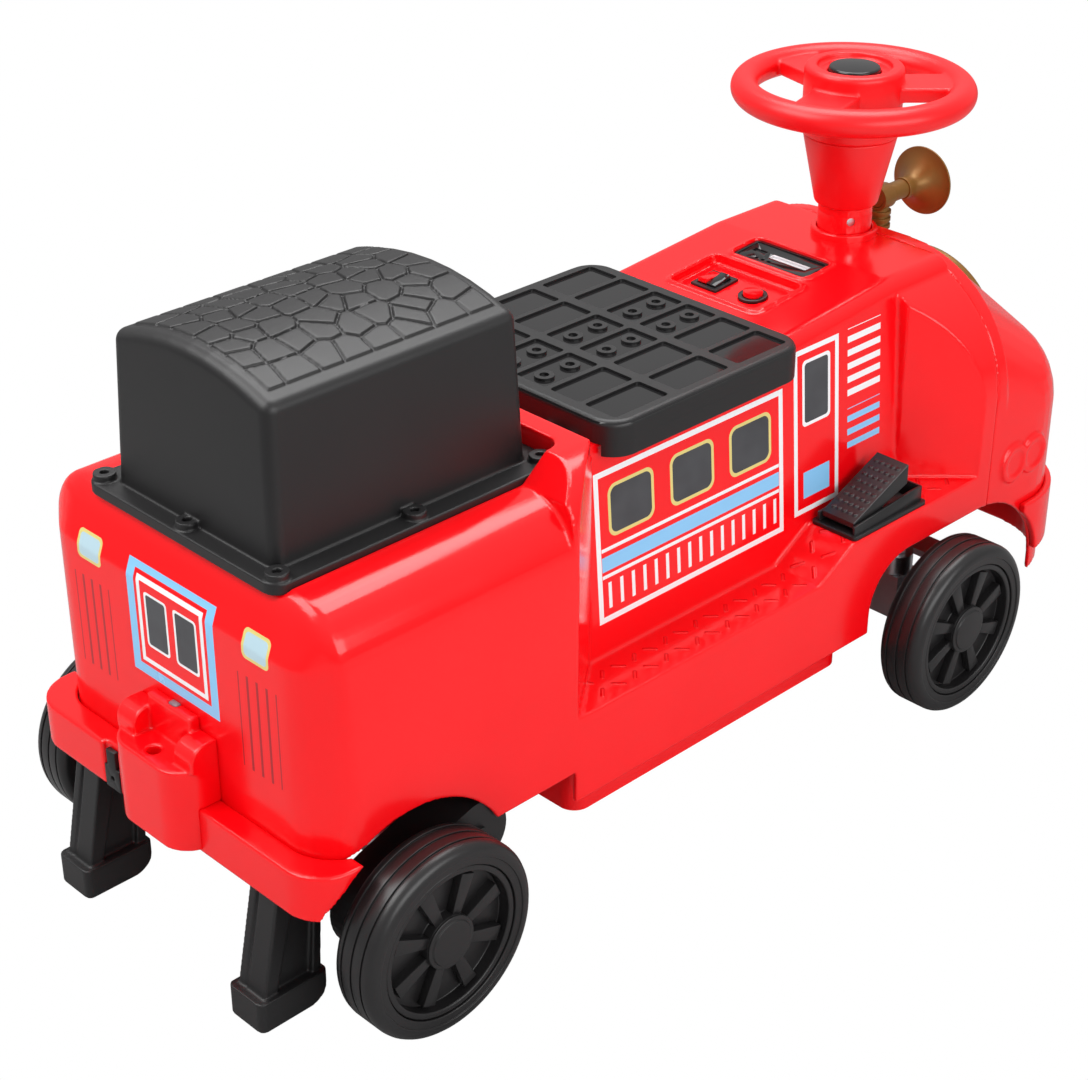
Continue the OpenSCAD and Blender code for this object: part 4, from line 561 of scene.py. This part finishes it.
def on_rim(point):
    across = max(abs(point.x - SEAT_MIDDLE) - SEAT_HALF[0] + SEAT_CORNER, 0)
    up = max(abs(point.y) - SEAT_HALF[1] + SEAT_CORNER, 0)
    return abs(point.z - SEAT_TOP) < WELD and abs(hypot(across, up) - SEAT_CORNER) < RIM_TOLERANCE


def corner_arc(reach):
    arc = []
    for step in range(SKIRT_STEPS + 1):
        turn = radians(SKIRT_START + (90 - SKIRT_START) * step / SKIRT_STEPS)
        along = SEAT_HALF[0] - SEAT_CORNER + reach * cos(turn)
        across = SEAT_HALF[1] - SEAT_CORNER + reach * sin(turn)
        arc.append((along, across))
    return arc


def loop_of(name, points):
    bpy.ops.object.select_all(action="DESELECT")
    bpy.ops.mesh.primitive_circle_add(vertices=len(points), radius=1)
    piece = bpy.context.object
    piece.name = name
    for vertex, point in zip(piece.data.vertices, points):
        vertex.co = point
    return piece


def joined(piece, extra):
    pick(piece)
    extra.select_set(True)
    bpy.ops.object.join()


lid = flattened("seat", "seat_lid")
bpy.ops.object.mode_set(mode="EDIT")
bpy.ops.mesh.select_mode(type="EDGE")
bpy.ops.mesh.select_all(action="DESELECT")
bpy.ops.object.mode_set(mode="OBJECT")
for edge in lid.data.edges:
    edge.select = all(on_rim(lid.data.vertices[end].co) for end in edge.vertices)
bpy.ops.object.mode_set(mode="EDIT")
bpy.ops.mesh.bevel(offset=SEAT_ROUND, offset_type="OFFSET", segments=6, affect="EDGES")
bpy.ops.object.mode_set(mode="OBJECT")
outer = corner_arc(SEAT_CORNER + SKIRT_PROUD)
inner = corner_arc((SEAT_CORNER + SKIRT_PROUD) * (1 - SKIRT_WALL / SEAT_CORNER))
plan = outer + [(-x, y) for x, y in reversed(outer)] + [(-x, y) for x, y in inner] + inner[::-1]
for sign in (1, -1):
    skirt = loop_of("lid_skirt", [(SEAT_MIDDLE + x, sign * y, SKIRT_TOP) for x, y in plan])
    edit_all(skirt)
    bpy.ops.mesh.edge_face_add()
    bpy.ops.mesh.extrude_region_move(TRANSFORM_OT_translate={"value": (0, 0, -SKIRT_DROP)})
    bpy.ops.mesh.select_all(action="SELECT")
    bpy.ops.mesh.normals_make_consistent(inside=False)
    bpy.ops.object.mode_set(mode="OBJECT")
    joined(lid, skirt)
modify(lid, "BEVEL", width=0.0007, segments=2, limit_method="ANGLE", angle_limit=radians(40),
       harden_normals=True)
bpy.ops.object.shade_smooth_by_angle(angle=radians(35))
modify(lid, "WEIGHTED_NORMAL", keep_sharp=True)

seat_black, tree, surface = variant(satin_black, "seat_black")
where = tree.nodes.new("ShaderNodeTexCoord")
sunk = band(tree, axes_of(tree, where.outputs["Object"])["Z"], *SUNK_HEIGHTS)
glossier = calc(tree, "MULTIPLY_ADD", sunk, SUNK_ROUGHNESS, fed(surface, "Roughness"))
tree.links.new(glossier, surface.inputs["Roughness"])
smoother = calc(tree, "MULTIPLY_ADD", sunk, SUNK_GRAIN, GRAIN_STRENGTH)
tree.links.new(smoother, fed(surface, "Normal").node.inputs["Strength"])
place(lid, "seat", seat_black, "seat")

# Dash: the glossy black player panel with a bright strip in its long slot, and
# two switches with black housings and moulded rockers. All are pressed in, and
# each rocker tips in its housing.
STRIP_COLOUR = (0.62, 0.6, 0.62)
STRIP_ROUGHNESS = 0.2
STRIP_ALONG = (0.2003, 0.2062)
STRIP_ACROSS = (-0.0268, 0.0108)
STRIP_BELOW = 0.3486
gloss_black = finish_of("gloss_black", dark=(0.008, 0.0075, 0.008), light=(0.012, 0.011, 0.012),
                        rough=(0.07, 0.13), grain_size=600, grain_depth=0.00002)
panel_black, tree, surface = variant(gloss_black, "panel_black")
where = tree.nodes.new("ShaderNodeTexCoord")
x, y, z = axes_of(tree, where.outputs["Object"])
strip = both_of(tree, band(tree, x, *STRIP_ALONG), band(tree, y, *STRIP_ACROSS),
                calc(tree, "LESS_THAN", z, STRIP_BELOW))
bright = mix_colour(tree, strip, fed(surface, "Base Color"), STRIP_COLOUR)
tree.links.new(bright, surface.inputs["Base Color"])
rougher = calc(tree, "MULTIPLY_ADD", strip, STRIP_ROUGHNESS, fed(surface, "Roughness"))
tree.links.new(rougher, surface.inputs["Roughness"])
for node, name, rides_on, material, slot in (
        ("media_panel", "player_panel", "frame", panel_black, "gloss_black_plastic"),
        ("dual_switch_housing", "twin_switch", "frame", satin_black, "gloss_black_plastic"),
        ("round_switch_housing", "round_switch", "frame", satin_black, "gloss_black_plastic"),
        ("rocker_red", "red_rocker", "rocker_red", red, "red_plastic"),
        ("rocker_black", "black_rocker", "rocker_black", gloss_black, "gloss_black_plastic"),
        ("rocker_power", "power_rocker", "rocker_power", red, "red_plastic")):
    place(edged(node, name, width=0.0005), rides_on, material, node)

# Steering column: red plastic sleeve, cup and wheel bolted to the steel rod, a
# collar on the dash, and the black horn button in the wheel's hub. The round
# pieces are turned from an outline of radius, height and fillet in millimetres.
COLUMN = (0.28, 0, 0)
FILLET_STEPS = 5
TURN_STEPS = 96
red_satin = finish_of("red_satin", dark=(0.8, 0.0012, 0.004), light=(0.88, 0.0022, 0.006),
                      rough=(0.3, 0.4), grain_size=900, grain_depth=0.00005)


def filleted(corners):
    outline = []
    for index, (x, y, fillet) in enumerate(corners):
        here = Vector((x, y))
        if not fillet:
            outline.append(here)
            continue
        back = (Vector(corners[index - 1][:2]) - here).normalized()
        ahead = (Vector(corners[(index + 1) % len(corners)][:2]) - here).normalized()
        half = back.angle(ahead) / 2
        middle = here + (back + ahead).normalized() * (fillet / sin(half))
        first = here + back * (fillet / tan(half)) - middle
        last = here + ahead * (fillet / tan(half)) - middle
        begin = atan2(first.y, first.x)
        sweep = (atan2(last.y, last.x) - begin + pi) % (2 * pi) - pi
        for step in range(FILLET_STEPS + 1):
            turn = begin + sweep * step / FILLET_STEPS
            outline.append(middle + fillet * Vector((cos(turn), sin(turn))))
    return outline


def turned(name, corners):
    piece = loop_of(name, [(point.x / 1000, 0, point.y / 1000) for point in filleted(corners)])
    edit_all(piece)
    bpy.ops.mesh.spin(steps=TURN_STEPS, angle=2 * pi, center=(0, 0, 0), axis=(0, 0, 1))
    bpy.ops.mesh.select_all(action="SELECT")
    bpy.ops.mesh.remove_doubles(threshold=0.000004)
    bpy.ops.mesh.normals_make_consistent(inside=False)
    bpy.ops.object.mode_set(mode="OBJECT")
    bpy.ops.object.shade_smooth_by_angle(angle=radians(35))
    return piece


def settled(piece, at, turn=(0, 0, 0)):
    pick(piece)
    piece.location = at
    piece.rotation_euler = turn
    bpy.ops.object.transform_apply(location=True, rotation=True, scale=True)
    return piece


sleeve = edged("column_sleeve", "column_sleeve_skin", width=0.0002)
sleeve_top = turned("sleeve_top", [(6, 371, 0), (22, 371, 0), (22, 378, 0), (6, 378, 0)])
joined(sleeve, settled(sleeve_top, COLUMN))
place(sleeve, "steering", red, "column_sleeve")
ring = turned("column_ring", [(22.6, 351, 0), (27, 351, 0), (27, 357, 1.5), (22.6, 357, 1)])
place(settled(ring, COLUMN), "frame", red, "column_collar")
cup = turned("wheel_cup", [(6, 377, 0), (25.3, 377, 4), (38, 436, 1.5), (6, 436, 0)])
place(settled(cup, COLUMN), "steering", red_satin, "steering_cup")
wheel = moulded("steering_wheel", "wheel_moulding", voxel=0.0012, passes=8, triangles=120000)
place(wheel, "steering", red_satin, "steering_wheel")
key = turned("horn_key", [(0, 481.8, 0), (20.5, 481.8, 1.8), (20.5, 489.6, 2), (0, 490.3, 0)])
place(settled(key, COLUMN), "horn_button", gloss_black, "horn_button")
bolt = edged("column_screw", "column_bolt", width=0.0004)
place(bolt, "steering", steel, "column_screw")

# Horn and headlamp: gold coloured plastic. The horn stands on a ribbed stalk
# and has a ring at its neck and a lip at its mouth. The lamp is a rim set in
# the nose, with an ivory lens pressed in.
BELL_STEPS = 12
BELL_NECK = 8
BELL_SPREAD = 20
BELL_START = 36
BELL_LENGTH = 26
BELL_WALL = 2.5
HORN_AT = (0.32, 0, 0.3685)
HORN_TURN = (0, pi / 2, 0)
LAMP_AT = (0.42, 0, 0.247)
LAMP_TURN = (0, radians(75), 0)
gold = finish_of("gold_plastic", dark=(0.21, 0.1, 0.017), light=(0.27, 0.13, 0.025),
                 rough=(0.34, 0.44), grain_size=1200, grain_depth=0.00005, metal=0.4)
lens_white = finish_of("lamp_lens", dark=(0.8, 0.76, 0.66), light=(0.88, 0.85, 0.76),
                       rough=(0.06, 0.1), grain_size=500, grain_depth=0.00002)
stalk = edged("horn_bracket", "horn_stalk", width=0.0006)
place(stalk, "frame", gold, "horn_bracket")
shares = [step / BELL_STEPS for step in range(BELL_STEPS)]
flare = [(BELL_NECK + BELL_SPREAD * share ** 3, BELL_START + BELL_LENGTH * share) for share in shares]
bell = [(0, 0, 0), (BELL_NECK, 0, 1.5), (BELL_NECK, 34, 0), (9.2, 34, 0.4), (9.2, 36.5, 0.4)]
bell += [(radius, height, 0) for radius, height in flare[3:]]
bell += [(28, 61, 0), (29, 61, 0.4), (29, 63, 0.8), (26.5, 63, 0.8)]
bell += [(radius - BELL_WALL, height, 0) for radius, height in reversed(flare)]
bell += [(0, BELL_START, 0)]
trumpet = settled(turned("horn_trumpet", bell), HORN_AT, HORN_TURN)
place(trumpet, "frame", gold, "horn_bell")
rim = turned("lamp_rim", [(52, -50, 0), (60, -50, 0), (60, 0, 3.5), (52, 0, 3.5)])
place(settled(rim, LAMP_AT, LAMP_TURN), "frame", gold, "headlamp_rim")
lens = turned("lamp_glass", [(0, -11, 0), (52, -11, 0), (52, -6.5, 1), (30, -4.8, 0), (0, -4, 0)])
place(settled(lens, LAMP_AT, LAMP_TURN), "frame", lens_white, "headlamp_lens")

# Pedal: black plastic box and plate with a dotted tread, hinged at the heel,
# over a steel return spring. The spring stands on its foot and gets a mesh of
# its own.
wheel_black = finish_of("wheel_black", dark=(0.009, 0.0085, 0.009), light=(0.014, 0.013, 0.0135),
                        rough=(0.26, 0.38), grain_size=1500, grain_depth=0.00006)
box = edged("pedal_base", "pedal_box", width=0.0008)
place(box, "frame", wheel_black, "pedal_base")
plate = moulded("pedal_plate", "pedal_tread", voxel=0.0005, passes=2, triangles=80000)
place(plate, "pedal", wheel_black, "pedal_plate")
spring = welded("pedal_spring", "return_spring")
bpy.ops.object.shade_smooth_by_angle(angle=radians(50))
place(spring, "frame", steel, "pedal_spring")
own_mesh(spring)

# Wheels: hollow black plastic tyres with three fine grooves, a trim with eight
# raised spokes pressed in, and a crowned cap over the axle nut. Each is
# modelled once, with its axle upright at the origin, and copied.
AXLES = {"rear": -0.3305, "front": 0.2345}
HUB_OUT = 0.1535
HUB_HEIGHT = 0.073
GROOVES = [corner for at in (9.5, 19, 28.5) for corner in (
    (73, at - 0.8, 0.4), (71.6, at - 0.8, 0.3), (71.6, at + 0.8, 0.3), (73, at + 0.8, 0.4))]
TYRE = [(5.05, 0, 0), (20, 0, 0.6), (20, 12, 1), (63, 12, 2), (63, 0, 0.8), (73, 0, 8), *GROOVES,
        (73, 38, 8), (63, 38, 0.6), (63, 37, 0.3), (57.3, 37, 0.8), (57.3, 22, 0), (13, 22, 0),
        (13, 20, 0), (5.05, 20, 0)]
TRIM = [(13, 22, 0), (57, 22, 0), (57, 36, 1.6), (52, 36, 1.4), (52, 26, 1), (20, 26, 0.8),
        (20, 34, 0.5), (13, 34, 0)]
CAP = [(10.8, 29, 0.2), (12.8, 29, 0.2), (12.8, 34, 0), (20, 34, 0.3), (20, 35.75, 0.8),
       (17.2, 36, 0.2), (16.5, 37.1, 0.5), (0, 37.5, 0), (0, 34, 0), (10.8, 34, 0)]
SPOKES = 8
SPOKE_ROOT = {"radius": 0.015, "width": 0.007}
SPOKE_TIP = {"radius": 0.049, "width": 0.012}
SPOKE_FLOOR = 0.0255
SPOKE_FACE = 0.033

bpy.ops.object.select_all(action="DESELECT")
bpy.ops.mesh.primitive_cube_add(size=1)
spoke = bpy.context.object
for corner in spoke.data.vertices:
    size = SPOKE_TIP if corner.co.x > 0 else SPOKE_ROOT
    height = SPOKE_FACE if corner.co.z > 0 else SPOKE_FLOOR
    corner.co = (size["radius"], corner.co.y * size["width"], height)
modify(spoke, "BEVEL", width=0.0009, segments=2, limit_method="ANGLE", angle_limit=radians(30))
trim = turned("trim", TRIM)
for index in range(SPOKES):
    turn = (index + 0.5) * 2 * pi / SPOKES
    joined(trim, settled(copied(spoke, "spoke_copy"), (0, 0, 0), (0, 0, turn)))
bpy.ops.object.shade_smooth_by_angle(angle=radians(35))
models = {"tyre": turned("tyre", TYRE), "trim": trim, "cap": turned("cap", CAP)}
for end, axle in AXLES.items():
    for side, sign in (("left", 1), ("right", -1)):
        for part, model in models.items():
            piece = copied(model, f"{part}_skin_{end}_{side}")
            settled(piece, (axle, sign * HUB_OUT, HUB_HEIGHT), (-sign * pi / 2, 0, 0))
            place(piece, f"wheel_{end}_{side}", wheel_black, f"{part}_{end}_{side}")
for model in (spoke, *models.values()):
    bpy.data.objects.remove(model)
